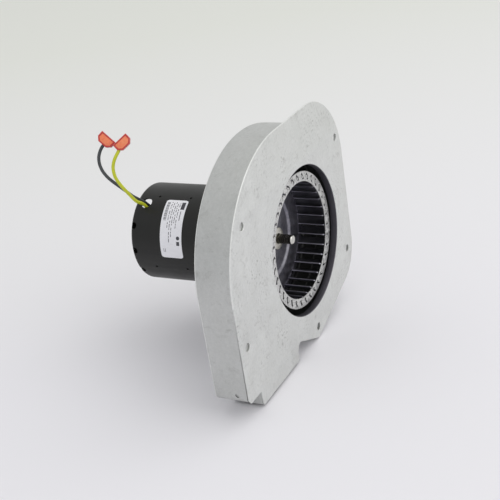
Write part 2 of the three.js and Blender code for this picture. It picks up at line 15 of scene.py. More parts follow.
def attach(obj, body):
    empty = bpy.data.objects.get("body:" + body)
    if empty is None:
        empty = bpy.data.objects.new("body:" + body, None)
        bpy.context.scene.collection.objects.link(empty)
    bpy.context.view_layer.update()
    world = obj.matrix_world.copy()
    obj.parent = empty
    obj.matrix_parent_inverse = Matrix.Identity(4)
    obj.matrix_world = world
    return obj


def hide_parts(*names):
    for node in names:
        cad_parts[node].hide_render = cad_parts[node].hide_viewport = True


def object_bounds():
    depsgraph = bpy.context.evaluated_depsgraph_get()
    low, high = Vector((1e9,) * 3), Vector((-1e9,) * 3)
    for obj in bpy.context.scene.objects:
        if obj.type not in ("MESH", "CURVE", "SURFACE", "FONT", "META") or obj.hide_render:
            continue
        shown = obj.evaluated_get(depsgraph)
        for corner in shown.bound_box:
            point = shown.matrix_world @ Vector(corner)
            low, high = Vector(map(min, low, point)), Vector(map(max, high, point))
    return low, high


MM = 0.001
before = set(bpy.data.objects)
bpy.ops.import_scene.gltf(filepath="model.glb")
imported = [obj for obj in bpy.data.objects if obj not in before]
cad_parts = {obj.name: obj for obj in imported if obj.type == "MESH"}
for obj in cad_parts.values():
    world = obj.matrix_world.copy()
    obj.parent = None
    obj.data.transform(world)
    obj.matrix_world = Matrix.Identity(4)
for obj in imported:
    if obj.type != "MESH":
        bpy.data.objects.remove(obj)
CAD_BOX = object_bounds()


# ---- camera, light and floor ----

CAMERA_PLACE = (-0.6984, -0.3573, 0.3613)
CAMERA_RIGHT = Vector((0.4436, -0.8842, -0.1464))
CAMERA_UP = Vector((0.4381, 0.0714, 0.8961))
CAMERA_BACK = Vector((-0.7818, -0.4617, 0.4190))
FOCAL_MM = 75.6
FLOOR_DROP = 0.5 * MM


def camera():
    data = bpy.data.cameras.new("camera")
    data.lens = FOCAL_MM
    data.sensor_width = 36
    data.clip_start = 0.01
    view = bpy.data.objects.new("camera", data)
    turn = Matrix((CAMERA_RIGHT, CAMERA_UP, CAMERA_BACK)).transposed()
    view.matrix_world = Matrix.Translation(CAMERA_PLACE) @ turn.to_4x4()
    bpy.context.scene.collection.objects.link(view)
    bpy.context.scene.camera = view


def area_light(name, place, target, size, power, color=(1, 1, 1)):
    data = bpy.data.lights.new(name, "AREA")
    data.shape = "DISK"
    data.size = size
    data.energy = power
    data.color = color
    lamp = bpy.data.objects.new(name, data)
    lamp.location = place
    lamp.rotation_euler = (Vector(place) - Vector(target)).to_track_quat("Z", "Y").to_euler()
    bpy.context.scene.collection.objects.link(lamp)


BRIGHT_SIDE = Vector((0.30, -0.78, 0.55)).normalized()
BRIGHT_SKY = (1.0, 1.0, 0.98, 1)
DIM_SKY = (0.60, 0.61, 0.64, 1)
SKY_STRENGTH = 0.93


def studio():
    """Soft light from the front and above. The surroundings are dimmer behind the object."""
    bpy.context.scene.view_settings.view_transform = "Standard"
    world = bpy.data.worlds.new("studio")
    world.use_nodes = True
    nodes, links = world.node_tree.nodes, world.node_tree.links
    place = nodes.new("ShaderNodeTexCoord")
    towards = nodes.new("ShaderNodeVectorMath")
    towards.operation = "DOT_PRODUCT"
    towards.inputs[1].default_value = BRIGHT_SIDE
    links.new(place.outputs["Generated"], towards.inputs[0])
    fade = nodes.new("ShaderNodeValToRGB")
    fade.color_ramp.elements[0].position = 0.0
    fade.color_ramp.elements[0].color = DIM_SKY
    fade.color_ramp.elements[1].position = 1.0
    fade.color_ramp.elements[1].color = BRIGHT_SKY
    spread = nodes.new("ShaderNodeMapRange")
    spread.inputs["From Min"].default_value = -0.9
    links.new(towards.outputs["Value"], spread.inputs["Value"])
    links.new(spread.outputs["Result"], fade.inputs["Fac"])
    background = nodes["Background"]
    links.new(fade.outputs["Color"], background.inputs["Color"])
    background.inputs["Strength"].default_value = SKY_STRENGTH
    bpy.context.scene.world = world
    centre = (0, 0.05, 0)
    area_light("key", (-0.3, -1.9, 1.5), centre, 1.6, 7)
    area_light("fill", (0.7, -0.8, 2.2), centre, 1.8, 8)
    floor = mesh_piece("floor", *disc_mesh(6000, 64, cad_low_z()))
    floor.data.materials.append(floor_material())


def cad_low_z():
    return (CAD_BOX[0][2] - FLOOR_DROP) / MM


# ---- mesh making ----

def mesh_piece(name, points, faces, smooth_angle=None):
    """A mesh object from points in millimetres. Edges flatter than smooth_angle are shaded smooth."""
    mesh = bpy.data.meshes.new(name)
    mesh.from_pydata([Vector(p) * MM for p in points], [], [tuple(f) for f in faces])
    made = bmesh.new()
    made.from_mesh(mesh)
    bmesh.ops.remove_doubles(made, verts=made.verts, dist=1e-6)
    bmesh.ops.recalc_face_normals(made, faces=made.faces)
    made.to_mesh(mesh)
    made.free()
    piece = bpy.data.objects.new(name, mesh)
    bpy.context.scene.collection.objects.link(piece)
    if smooth_angle is not None:
        shade(piece, smooth_angle)
    return piece


def shade(piece, smooth_angle):
    mesh = piece.data
    mesh.polygons.foreach_set("use_smooth", [True] * len(mesh.polygons))
    mesh.set_sharp_from_angle(angle=math.radians(smooth_angle))


def settle(piece):
    """Turns a piece's modifiers into its mesh."""
    view = bpy.context.evaluated_depsgraph_get()
    mesh = bpy.data.meshes.new_from_object(piece.evaluated_get(view))
    piece.modifiers.clear()
    old = piece.data
    piece.data = mesh
    bpy.data.meshes.remove(old)


def carve(piece, *cutters, smooth_angle=35, operation="DIFFERENCE"):
    """Cuts the cutters out of a piece, or adds them with UNION, and removes them."""
    for cutter in cutters:
        modifier = piece.modifiers.new("cut", "BOOLEAN")
        modifier.operation = operation
        modifier.solver = "EXACT"
        modifier.object = cutter
    settle(piece)
    for cutter in cutters:
        bpy.data.objects.remove(cutter)
    shade(piece, smooth_angle)
    return piece


def soften(piece, width, segments=2, angle=40, smooth_angle=35):
    """Rounds a piece's sharp edges by a width in millimetres."""
    modifier = piece.modifiers.new("edges", "BEVEL")
    modifier.width = width * MM
    modifier.segments = segments
    modifier.limit_method = "ANGLE"
    modifier.angle_limit = math.radians(angle)
    settle(piece)
    shade(piece, smooth_angle)
    return piece


def joined(name, pieces):
    """One object that holds the meshes of several."""
    made = bmesh.new()
    for piece in pieces:
        piece.data.transform(piece.matrix_world)
        made.from_mesh(piece.data)
    mesh = bpy.data.meshes.new(name)
    made.to_mesh(mesh)
    made.free()
    for piece in pieces:
        bpy.data.objects.remove(piece)
    whole = bpy.data.objects.new(name, mesh)
    bpy.context.scene.collection.objects.link(whole)
    return whole


def polar(radius, angle):
    return (radius * math.cos(math.radians(angle)), radius * math.sin(math.radians(angle)))


def disc_mesh(radius, sides, z):
    points = [(*polar(radius, 360 * i / sides), z) for i in range(sides)]
    return points, [range(sides)]


def turned(name, profile, sides=96, smooth_angle=30):
    """A body turned about the shaft from [radius, y] points, which make a closed loop."""
    count = len(profile)
    points = []
    for i in range(sides):
        for r, y in profile:
            x, z = polar(max(r, 0), 360 * i / sides)
            points.append((x, y, z))
    faces = []
    for i in range(sides):
        after = (i + 1) % sides
        for k in range(count):
            n = (k + 1) % count
            face = [i * count + k, i * count + n, after * count + n, after * count + k]
            if profile[k][0] <= 0 and profile[n][0] <= 0:
                continue
            faces.append(face)
    return mesh_piece(name, points, faces, smooth_angle)


def arc_points(centre, radius, start, end, steps):
    cx, cy = centre
    turn = (end - start) / steps
    return [(cx + polar(radius, start + i * turn)[0], cy + polar(radius, start + i * turn)[1])
            for i in range(steps + 1)]


def rounded_profile(corners, steps=5):
    """Points round a closed outline of corners (x, y, radius), with an arc at each rounded corner."""
    points = []
    for i, (x, y, radius) in enumerate(corners):
        corner = Vector((x, y))
        if not radius:
            points.append((x, y))
            continue
        back = (Vector(corners[i - 1][:2]) - corner).normalized()
        ahead = (Vector(corners[(i + 1) % len(corners)][:2]) - corner).normalized()
        half = math.acos(max(-1, min(1, back.dot(ahead)))) / 2
        centre = corner + (back + ahead).normalized() * (radius / math.sin(half))
        reach = corner + back * (radius / math.tan(half)) - centre
        sweep = math.pi - 2 * half
        if back.x * ahead.y - back.y * ahead.x > 0:
            sweep = -sweep
        count = max(steps, math.ceil(abs(sweep) / math.radians(3))) if radius > 20 else steps
        first = math.atan2(reach.y, reach.x)
        for k in range(count + 1):
            a = first + sweep * k / count
            points.append((centre.x + radius * math.cos(a), centre.y + radius * math.sin(a)))
    return points


def inset(corners, distance):
    """The same counter-clockwise corners, moved inwards."""
    moved = []
    for i, (x, y, radius) in enumerate(corners):
        before = (Vector((x, y)) - Vector(corners[i - 1][:2])).normalized()
        after = (Vector(corners[(i + 1) % len(corners)][:2]) - Vector((x, y))).normalized()
        share = distance / (1 + before.dot(after))
        convex = before.x * after.y - before.y * after.x > 0
        fresh = radius - distance if convex else radius + distance
        moved.append((x - (before.y + after.y) * share, y + (before.x + after.x) * share,
                      max(fresh, 0.01) if radius else 0))
    return moved


def ring_walls(rings, base, closed=False):
    """Quads between rings of the same number of points, which start at the index base."""
    count = len(rings[0])
    faces = []
    pairs = range(len(rings)) if closed else range(len(rings) - 1)
    for k in pairs:
        low = base + k * count
        high = base + ((k + 1) % len(rings)) * count
        for i in range(count):
            n = (i + 1) % count
            faces.append((low + i, low + n, high + n, high + i))
    return faces


def filled(outlines, y, base):
    """Triangles that fill an outline with holes, as indices from base over all its points in order."""
    loops = [[Vector((x, z, 0)) for x, z in outline] for outline in outlines]
    return [tuple(base + i for i in triangle) for triangle in tessellate_polygon(loops)]


def circle_points(radius, sides, centre=(0, 0)):
    return [(centre[0] + polar(radius, 360 * i / sides)[0], centre[1] + polar(radius, 360 * i / sides)[1])
            for i in range(sides)]


def rod(name, radius, start, end, sides=32):
    """A closed rod between two points."""
    start, end = Vector(start), Vector(end)
    made = bmesh.new()
    bmesh.ops.create_cone(made, cap_ends=True, segments=sides, radius1=radius * MM, radius2=radius * MM,
                          depth=(end - start).length * MM)
    mesh = bpy.data.meshes.new(name)
    made.to_mesh(mesh)
    made.free()
    piece = bpy.data.objects.new(name, mesh)
    turn = (end - start).to_track_quat("Z", "Y").to_matrix().to_4x4()
    mesh.transform(Matrix.Translation((start + end) / 2 * MM) @ turn)
    bpy.context.scene.collection.objects.link(piece)
    return piece


def radial(radius, angle, y):
    x, z = polar(radius, angle)
    return (x, y, z)


def prism_faces(count):
    """The faces of a prism with this many points at each end, one end listed after the other."""
    faces = [tuple(range(count))[::-1], tuple(range(count, 2 * count))]
    return faces + [(i, (i + 1) % count, count + (i + 1) % count, count + i) for i in range(count)]


def extruded(name, outline, y0, y1, smooth_angle=30):
    """A prism along the shaft from an outline in x and z."""
    points = [(x, y0, z) for x, z in outline] + [(x, y1, z) for x, z in outline]
    return mesh_piece(name, points, prism_faces(len(outline)), smooth_angle)


# ---- materials ----

class Surface:
    """A node material under construction."""

    def __init__(self, name):
        self.material = bpy.data.materials.new(name)
        self.material.use_nodes = True
        self.nodes = self.material.node_tree.nodes
        self.links = self.material.node_tree.links
        self.shader = self.nodes["Principled BSDF"]
        self.place = self.nodes.new("ShaderNodeTexCoord").outputs["Object"]

    def set(self, **values):
        for socket, value in values.items():
            self.shader.inputs[socket.replace("_", " ")].default_value = value

    def stretched(self, scale):
        mapping = self.nodes.new("ShaderNodeMapping")
        mapping.inputs["Scale"].default_value = scale
        self.links.new(self.place, mapping.inputs["Vector"])
        return mapping.outputs["Vector"]

    def noise(self, scale, detail=4, roughness=0.55, stretch=None, distortion=0):
        node = self.nodes.new("ShaderNodeTexNoise")
        node.inputs["Scale"].default_value = scale
        node.inputs["Detail"].default_value = detail
        node.inputs["Roughness"].default_value = roughness
        node.inputs["Distortion"].default_value = distortion
        self.links.new(self.stretched(stretch) if stretch else self.place, node.inputs["Vector"])
        return node.outputs["Fac"]

    def ramp(self, value, stops):
        node = self.nodes.new("ShaderNodeValToRGB")
        elements = node.color_ramp.elements
        while len(elements) < len(stops):
            elements.new(0.5)
        for element, (position, color) in zip(elements, stops):
            element.position = position
            element.color = (*color, 1) if isinstance(color, tuple) else (color, color, color, 1)
        self.links.new(value, node.inputs["Fac"])
        return node.outputs["Color"]

    def mix(self, factor, a, b, blend="MIX"):
        node = self.nodes.new("ShaderNodeMix")
        node.data_type = "RGBA"
        node.blend_type = blend
        for socket, value in ((node.inputs[0], factor), (node.inputs[6], a), (node.inputs[7], b)):
            if isinstance(value, bpy.types.NodeSocket):
                self.links.new(value, socket)
            elif isinstance(value, tuple):
                socket.default_value = (*value, 1)
            else:
                socket.default_value = value
        return node.outputs[2]

    def math(self, operation, a, b):
        node = self.nodes.new("ShaderNodeMath")
        node.operation = operation
        for socket, value in zip(node.inputs, (a, b)):
            if isinstance(value, bpy.types.NodeSocket):
                self.links.new(value, socket)
            else:
                socket.default_value = value
        return node.outputs[0]

    def near_axis(self, radius, fade):
        """1 within a radius of the shaft axis, falling to 0 over the fade distance."""
        flat = self.nodes.new("ShaderNodeVectorMath")
        flat.operation = "MULTIPLY"
        flat.inputs[1].default_value = (1, 0, 1)
        self.links.new(self.place, flat.inputs[0])
        length = self.nodes.new("ShaderNodeVectorMath")
        length.operation = "LENGTH"
        self.links.new(flat.outputs["Vector"], length.inputs[0])
        span = self.nodes.new("ShaderNodeMapRange")
        span.inputs["From Min"].default_value = radius * MM
        span.inputs["From Max"].default_value = (radius + fade) * MM
        span.inputs["To Min"].default_value = 1
        span.inputs["To Max"].default_value = 0
        self.links.new(length.outputs["Value"], span.inputs["Value"])
        return span.outputs["Result"]

    def color(self, value):
        self.links.new(value, self.shader.inputs["Base Color"])

    def roughness(self, value):
        self.links.new(value, self.shader.inputs["Roughness"])

    def bump(self, height, distance, strength=1.0):
        node = self.nodes.new("ShaderNodeBump")
        node.inputs["Distance"].default_value = distance * MM
        node.inputs["Strength"].default_value = strength
        self.links.new(height, node.inputs["Height"])
        previous = self.shader.inputs["Normal"].links
        if previous:
            self.links.new(previous[0].from_socket, node.inputs["Normal"])
        self.links.new(node.outputs["Normal"], self.shader.inputs["Normal"])


def floor_material():
    """Matt white paper with a painted light falloff: lighter with a trace of lilac near the camera, darker
    with a trace of green far away.
    """
    surface = Surface("floor")
    surface.set(Roughness=0.9)
    away = surface.nodes.new("ShaderNodeVectorMath")
    away.operation = "DOT_PRODUCT"
    away.inputs[1].default_value = (0.62, 0.37, 0)
    surface.links.new(surface.place, away.inputs[0])
    stops = [(0.0, (0.83, 0.82, 0.855)), (0.9, (0.78, 0.79, 0.745))]
    surface.color(surface.ramp(away.outputs["Value"], stops))
    return surface.material


def aluminised_sheet(name, tone, specks=0.7, lip_painted_reflection=False):
    """Matt aluminised steel with fine spangle, faint clouding, dark specks and smudges.

    With the lip flag set, a painted dark reflection covers everything within the inlet's radius. It stands in
    for the dark wheel and scroll that the lip reflects.
    """
    surface = Surface(name)
    surface.set(Metallic=0.8)
    cloud = surface.noise(55, detail=5, roughness=0.6)
    spangle = surface.noise(420, detail=3, roughness=0.6)
    base = surface.ramp(cloud, [(0.3, (0.60, 0.61, 0.59)), (0.7, (0.69, 0.70, 0.685))])
    crystals = surface.ramp(spangle, [(0.35, (0.54, 0.55, 0.54)), (0.65, (0.76, 0.765, 0.755))])
    base = surface.mix(0.2, base, crystals)
    patch = surface.noise(30, detail=2, roughness=0.5, distortion=0.3)
    speck = surface.noise(430, detail=3, roughness=0.55)
    where = surface.math("MULTIPLY", surface.ramp(speck, [(0.54, 0.0), (0.70, 1.0)]),
                         surface.ramp(patch, [(0.48, 0.0), (0.68, specks)]))
    base = surface.mix(where, base, (0.25, 0.25, 0.23))
    smudge = surface.noise(120, detail=4, roughness=0.7, distortion=0.6)
    base = surface.mix(surface.ramp(smudge, [(0.56, 0.0), (0.74, 0.5)]), base, (0.40, 0.40, 0.38))
    light = surface.noise(900, detail=1)
    base = surface.mix(surface.ramp(light, [(0.62, 0.0), (0.72, 0.35)]), base, (0.80, 0.80, 0.79))
    base = surface.mix(1.0, base, (tone, tone, tone), "MULTIPLY")
    if lip_painted_reflection:
        # painted reflection: the lip is darkened as if it mirrored the dark wheel inside
        base = surface.mix(surface.near_axis(INLET_R + 0.25, 0.35), base, (0.12, 0.115, 0.135))
    surface.color(base)
    surface.roughness(surface.ramp(cloud, [(0.3, 0.38), (0.7, 0.5)]))
    surface.bump(surface.noise(1400, detail=2), 0.02, 0.35)
    surface.bump(surface.noise(60, detail=3), 0.12, 0.2)
    return surface.material


def wheel_sheet(name, tone):
    """Cold-rolled steel in a dark purple-grey that partly paints the shade inside the scroll, with short
    streaks across the blades.
    """
    surface = Surface(name)
    surface.set(Metallic=1.0)
    haze = surface.noise(90, detail=5)
    streak = surface.noise(300, detail=2, stretch=(1, 0.15, 1))
    shades = [tuple(c * tone for c in shade) for shade in ((0.26, 0.255, 0.30), (0.38, 0.375, 0.42),
                                                          (0.20, 0.195, 0.23), (0.5, 0.49, 0.54))]
    base = surface.ramp(haze, [(0.3, shades[0]), (0.7, shades[1])])
    surface.color(surface.mix(0.35, base, surface.ramp(streak, [(0.35, shades[2]), (0.65, shades[3])])))
    surface.roughness(surface.ramp(haze, [(0.3, 0.36), (0.7, 0.5)]))
    surface.bump(surface.noise(900, detail=2), 0.015, 0.3)
    return surface.material


def turned_steel(name, light, dark, roughness=0.28):
    """Steel with fine rings round the shaft from the lathe."""
    surface = Surface(name)
    surface.set(Metallic=1.0)
    rings = surface.noise(260, detail=2, stretch=(0.02, 6, 0.02))
    surface.color(surface.ramp(rings, [(0.35, dark), (0.65, light)]))
    surface.roughness(surface.ramp(rings, [(0.3, roughness), (0.7, roughness + 0.15)]))
    surface.bump(rings, 0.02, 0.3)
    return surface.material


def zinc_plate():
    surface = Surface("zinc_plate")
    surface.set(Metallic=0.95)
    haze = surface.noise(180, detail=4)
    surface.color(surface.ramp(haze, [(0.3, (0.50, 0.48, 0.42)), (0.7, (0.66, 0.65, 0.60))]))
    surface.roughness(surface.ramp(haze, [(0.3, 0.28), (0.7, 0.42)]))
    surface.bump(surface.noise(1200, detail=2), 0.01, 0.3)
    return surface.material


def black_paint():
    """Satin black enamel with a faint orange peel and dust."""
    surface = Surface("black_paint")
    surface.set(Coat_Weight=0.1, Coat_Roughness=0.35, Specular_IOR_Level=0.38)
    dust = surface.noise(45, detail=6, roughness=0.65)
    base = surface.ramp(dust, [(0.35, (0.0025, 0.0027, 0.0018)), (0.75, (0.006, 0.0062, 0.0045))])
    surface.color(base)
    surface.roughness(surface.ramp(dust, [(0.3, 0.38), (0.7, 0.5)]))
    surface.bump(surface.noise(700, detail=2), 0.03, 0.35)
    return surface.material


def cast_aluminium():
    surface = Surface("cast_aluminium")
    surface.set(Metallic=0.9)
    grain = surface.noise(240, detail=6, roughness=0.7)
    surface.color(surface.ramp(grain, [(0.3, (0.34, 0.35, 0.36)), (0.7, (0.50, 0.51, 0.52))]))
    surface.roughness(surface.ramp(grain, [(0.3, 0.4), (0.7, 0.6)]))
    surface.bump(grain, 0.12, 0.5)
    return surface.material


def laminations():
    """Stacked steel laminations: fine dark lines across the shaft direction."""
    surface = Surface("laminations")
    surface.set(Metallic=0.8)
    wave = surface.nodes.new("ShaderNodeTexWave")
    wave.bands_direction = "Y"
    wave.inputs["Scale"].default_value = 500
    surface.links.new(surface.place, wave.inputs["Vector"])
    surface.color(surface.ramp(wave.outputs["Fac"], [(0.2, (0.05, 0.05, 0.06)), (0.6, (0.20, 0.20, 0.22))]))
    surface.roughness(surface.ramp(surface.noise(80), [(0.3, 0.4), (0.7, 0.6)]))
    surface.bump(wave.outputs["Fac"], 0.1, 0.6)
    return surface.material


def copper_wire():
    surface = Surface("copper_wire")
    surface.set(Metallic=0.9, Coat_Weight=0.4)
    tone = surface.noise(120, detail=3)
    surface.color(surface.ramp(tone, [(0.3, (0.40, 0.12, 0.045)), (0.7, (0.62, 0.24, 0.10))]))
    surface.roughness(surface.ramp(tone, [(0.3, 0.25), (0.7, 0.4)]))
    return surface.material


def bronze():
    surface = Surface("bronze")
    surface.set(Metallic=0.9)
    grain = surface.noise(500, detail=4)
    surface.color(surface.ramp(grain, [(0.3, (0.28, 0.17, 0.07)), (0.7, (0.44, 0.30, 0.14))]))
    surface.roughness(surface.ramp(grain, [(0.3, 0.4), (0.7, 0.6)]))
    surface.bump(grain, 0.03, 0.4)
    return surface.material


def plastic(name, light, dark, low=0.35, high=0.5, grain=600):
    surface = Surface(name)
    tone = surface.noise(90, detail=4)
    surface.color(surface.ramp(tone, [(0.3, dark), (0.7, light)]))
    surface.roughness(surface.ramp(tone, [(0.3, low), (0.7, high)]))
    surface.bump(surface.noise(grain, detail=2), 0.02, 0.3)
    return surface


def vinyl_insulator(name, light, dark):
    surface = plastic(name, light, dark, 0.22, 0.35)
    surface.set(Subsurface_Weight=0.1, Subsurface_Radius=(0.002, 0.0008, 0.0005), Coat_Weight=0.4)
    return surface.material


def label_paper():
    return plastic("label_paper", (0.90, 0.90, 0.94), (0.86, 0.86, 0.90), 0.3, 0.4, 1500).material


# ---- scroll housing ----

SHEET = 1.2
INLET_R = 62.5
LIP_BEND = 0.6
LIP_DEPTH = 6
PLATE_CORNERS = [
    (-130, 107, 100), (-130, -72.5, 2), (-127.4, -76.4, 2), (-110.6, -76.4, 0), (-109, -89.5, 0),
    (-42.2, -89.5, 0), (-41.8, -81, 0), (-40.6, -80, 0), (-40.4, -73.6, 4), (-1, -91.5, 1),
    (89, -61.7, 35), (89, 107, 62),
]
PLATE_HOLES = [(-99.6, 58.9), (78, 60.9), (76.6, -43.9), (0.4, -81.3), (-119.4, -31.2)]
PLATE_HOLE_R = 3.25
OUTER_HOLES = PLATE_HOLES[1:4]
FLANGE_CORNERS = PLATE_CORNERS[:3] + [(-40.6, -76.4, 0), (-40.4, -73.6, 1)] + PLATE_CORNERS[9:]
SCROLL_CORNERS = [
    (-129, -75.6, 3.4), (-40, -75.6, 3.4), (-40, -50.5, 4), (-15.6, -74, 58), (84, -74, 66),
    (84, 105.8, 113.8), (-129, 105.8, 98),
]
SCROLL_FRONT = 1.35
SCROLL_RIM = 31.4
SCROLL_RIM_R = 3
SCROLL_BACK = 39
SCROLL_FLANGE = 16
STANDOFF_ANGLES = (45, 135, 225, 315)
STANDOFF_CIRCLE = 36


def edge_steps(radius, y_from, y_to):
    """Insets and depths that round a sheet's edge from one face to the other."""
    steps = []
    for i in range(4):
        a = math.radians(30 * i)
        steps.append((radius * (1 - math.sin(a)), y_from + radius * (1 - math.cos(a))))
    for i in range(4):
        a = math.radians(30 * i)
        steps.append((radius * (1 - math.cos(a)), y_to - radius * (1 - math.sin(a))))
    return steps


def mounting_plate():
    """The flat plate with its drawn inlet lip: every edge is rolled over slightly."""
    burr = 0.3
    points, faces = [], []

    def add_rings(rings):
        base = len(points)
        for outline, y in rings:
            points.extend((x, y, z) for x, z in outline)
        faces.extend(ring_walls([outline for outline, _ in rings], base))

    outer = [(rounded_profile(inset(PLATE_CORNERS, d)), y) for d, y in edge_steps(0.55, 0, SHEET)]
    add_rings(outer)
    holes = []
    for centre in PLATE_HOLES:
        rings = [(circle_points(PLATE_HOLE_R + d, 28, centre), y) for d, y in edge_steps(burr, 0, SHEET)]
        add_rings(rings)
        holes.append(rings)
    bend_r = INLET_R + LIP_BEND
    sides = 144
    lip = [(bend_r - LIP_BEND * math.sin(math.radians(a)), LIP_BEND * (1 - math.cos(math.radians(a))))
           for a in range(0, 91, 15)]
    lip += [(INLET_R, LIP_DEPTH - 0.3), (INLET_R + 0.3, LIP_DEPTH), (INLET_R + SHEET - 0.3, LIP_DEPTH),
            (INLET_R + SHEET, LIP_DEPTH - 0.3)]
    back_bend = 0.4
    back_r = INLET_R + SHEET + back_bend
    for a in range(90, -1, -15):
        turn = math.radians(a)
        lip.append((back_r - back_bend * math.sin(turn), SHEET + back_bend * (1 - math.cos(turn))))
    inlet = [(circle_points(r, sides), y) for r, y in lip]
    add_rings(inlet)
    for end in (0, -1):
        loops = [outer[end][0]] + [h[end][0] for h in holes] + [inlet[end][0]]
        y = outer[end][1]
        base = len(points)
        for loop in loops:
            points.extend((x, y, z) for x, z in loop)
        faces.extend(filled(loops, y, base))
    return mesh_piece("plate_sheet", points, faces, 28)


def solid_rings(name, rings, smooth_angle=30):
    """A closed body through outlines of equal point count, each at its own y, with flat ends."""
    points, faces = [], []
    for outline, y in rings:
        points.extend((x, y, z) for x, z in outline)
    faces.extend(ring_walls([outline for outline, _ in rings], 0))
    count = len(rings[0][0])
    faces.extend(filled([rings[0][0]], 0, 0))
    faces.extend(filled([rings[-1][0]], 0, (len(rings) - 1) * count))
    return mesh_piece(name, points, faces, smooth_angle)


def cup(name, corners, front, back, edge_r, steps=8):
    """A solid block along a wall line, with its back edge rounded."""
    turns = [90 * i / steps for i in range(steps + 1)]
    rings = [(rounded_profile(corners, 8), front)]
    rings += [(rounded_profile(inset(corners, edge_r * (1 - math.cos(math.radians(a)))), 8),
               back - edge_r * (1 - math.sin(math.radians(a)))) for a in turns]
    return solid_rings(name, rings)


BOSS_R = 60.6
BOSS_EDGE = 2.4


def boss(name, depth):
    """The round boss in the back wall. depth is how far inside the outer skin this surface lies."""
    base, out = SCROLL_RIM - depth, BOSS_R - depth
    top = out - BOSS_EDGE / 2
    edge = BOSS_EDGE - depth
    profile = [(0, base - 1.5), (out + 1.4, base - 1.5), (out + 1.4, base), (out + 0.6, base + 0.2),
               (out, base + 0.8)]
    for a in range(0, 91, 15):
        turn = math.radians(a)
        profile.append((top - edge * (1 - math.cos(turn)), SCROLL_BACK - depth - edge * (1 - math.sin(turn))))
    profile.append((0, SCROLL_BACK - depth))
    return turned(name, profile, 144)


def scroll_housing():
    """The drawn cup: a side wall with a rounded back edge, a boss in its back and a flange at its front."""
    outside = cup("scroll_cup", SCROLL_CORNERS, SCROLL_FRONT, SCROLL_RIM, SCROLL_RIM_R)
    for vertex in outside.data.vertices:
        if vertex.co.y < 2 * MM:
            below = (20 * MM - vertex.co.z) / (60 * MM)
            vertex.co.y += max(0, min(1, below)) * MM
    skin = carve(outside, boss("boss", 0), operation="UNION")
    step = [(0.25, SCROLL_FRONT), (0, SCROLL_FRONT + 0.25), (0, SCROLL_FRONT + SHEET)]
    flange = solid_rings("flange", [(rounded_profile(inset(FLANGE_CORNERS, 1.8 + d)), y) for d, y in step])
    skin = carve(skin, flange, operation="UNION")
    wall = inset(SCROLL_CORNERS, SHEET)
    inside = cup("inside", wall, SCROLL_FRONT + SHEET, SCROLL_RIM - SHEET, SCROLL_RIM_R - SHEET - 0.5)
    mouth_line = rounded_profile(inset(SCROLL_CORNERS, SCROLL_FLANGE))
    mouth = extruded("mouth", mouth_line, 0, SCROLL_FRONT + SHEET + 1)
    inlet = extruded("inlet", circle_points(INLET_R + 3.5, 96), 0, SCROLL_FRONT + SHEET + 1)
    left, right = COLLAR["left"] - COLLAR_GAP, COLLAR["right"] + COLLAR_GAP
    outlet_line = [(left, -90), (right, -90), (right, -69), (left, -69)]
    outlet = extruded("outlet", outlet_line, 0, COLLAR["back"] + COLLAR_GAP)
    dimple = rod("dimple", 1.8, (-131, 10.4, -69.6), (-128.3, 10.4, -69.6), 28)
    shaft_hole = extruded("shaft_hole", circle_points(11, 48), SCROLL_RIM, SCROLL_BACK + 1)
    holes = [extruded("hole", circle_points(2.2, 20, polar(STANDOFF_CIRCLE, a)), SCROLL_RIM, SCROLL_BACK + 1)
             for a in STANDOFF_ANGLES]
    holes += [extruded("hole", circle_points(PLATE_HOLE_R, 28, centre), 0, 4) for centre in OUTER_HOLES]
    openings = [mouth, inlet, outlet, dimple, joined("holes", holes + [shaft_hole])]
    return carve(skin, inside, boss("hollow", SHEET), *openings, smooth_angle=30)


COLLAR = {"left": -109, "right": -41.6, "front": 1.5, "back": 28.4, "top": -70, "bottom": -89.5, "wall": 1}
COLLAR_CORNER = 1.8
COLLAR_GAP = 0.15


def collar_corners(depth):
    """The collar's four corners in x and y, this far inside its outer skin."""
    left, right = COLLAR["left"] + depth, COLLAR["right"] - depth
    front, back = COLLAR["front"] + depth, COLLAR["back"] - depth
    corner = COLLAR_CORNER - depth
    return [(left, front, corner), (right, front, corner), (right, back, corner), (left, back, corner)]


def outlet_collar():
    """The folded outlet duct, with rounded long edges."""
    top, bottom, burr = COLLAR["top"], COLLAR["bottom"], 0.25
    levels = [(burr, top), (0, top - 0.3), (0, bottom + 0.3), (burr, bottom), (COLLAR["wall"], bottom),
              (COLLAR["wall"], top)]
    rings = [(rounded_profile(collar_corners(depth), 5), z) for depth, z in levels]
    points = [(x, y, z) for outline, z in rings for x, y in outline]
    faces = ring_walls([outline for outline, _ in rings], 0, closed=True)
    return mesh_piece("outlet_duct", points, faces, 30)


def second_material(piece, material, chosen):
    """Gives the faces for which chosen(centre, normal) holds a material of their own."""
    piece.data.materials.append(material)
    index = len(piece.data.materials) - 1
    for face in piece.data.polygons:
        if chosen(face.center / MM, face.normal):
            face.material_index = index


def faces_axis(centre, normal):
    return normal.x * centre.x + normal.z * centre.z < -0.3 * math.hypot(centre.x, centre.z)


def on_upper_rim(centre, normal):
    """The plate's rounded outer edge, down to a little below the shaft. It gets a painted highlight."""
    outer = math.hypot(centre.x, centre.z) > INLET_R + 5
    return outer and centre.z > -25 and abs(normal.y) < 0.98


# Faces inside the scroll, which get painted shade.
def inside_scroll(centre, normal):
    return centre.y > 2.4 and (faces_axis(centre, normal) or normal.y < -0.5)


def on_back_edge(centre, normal):
    """The rounded edge between the side wall and the back wall. It gets a painted highlight."""
    outer = math.hypot(centre.x, centre.z) > INLET_R and not faces_axis(centre, normal)
    return outer and centre.y > SCROLL_RIM - SCROLL_RIM_R and 0.3 < normal.y < 0.97


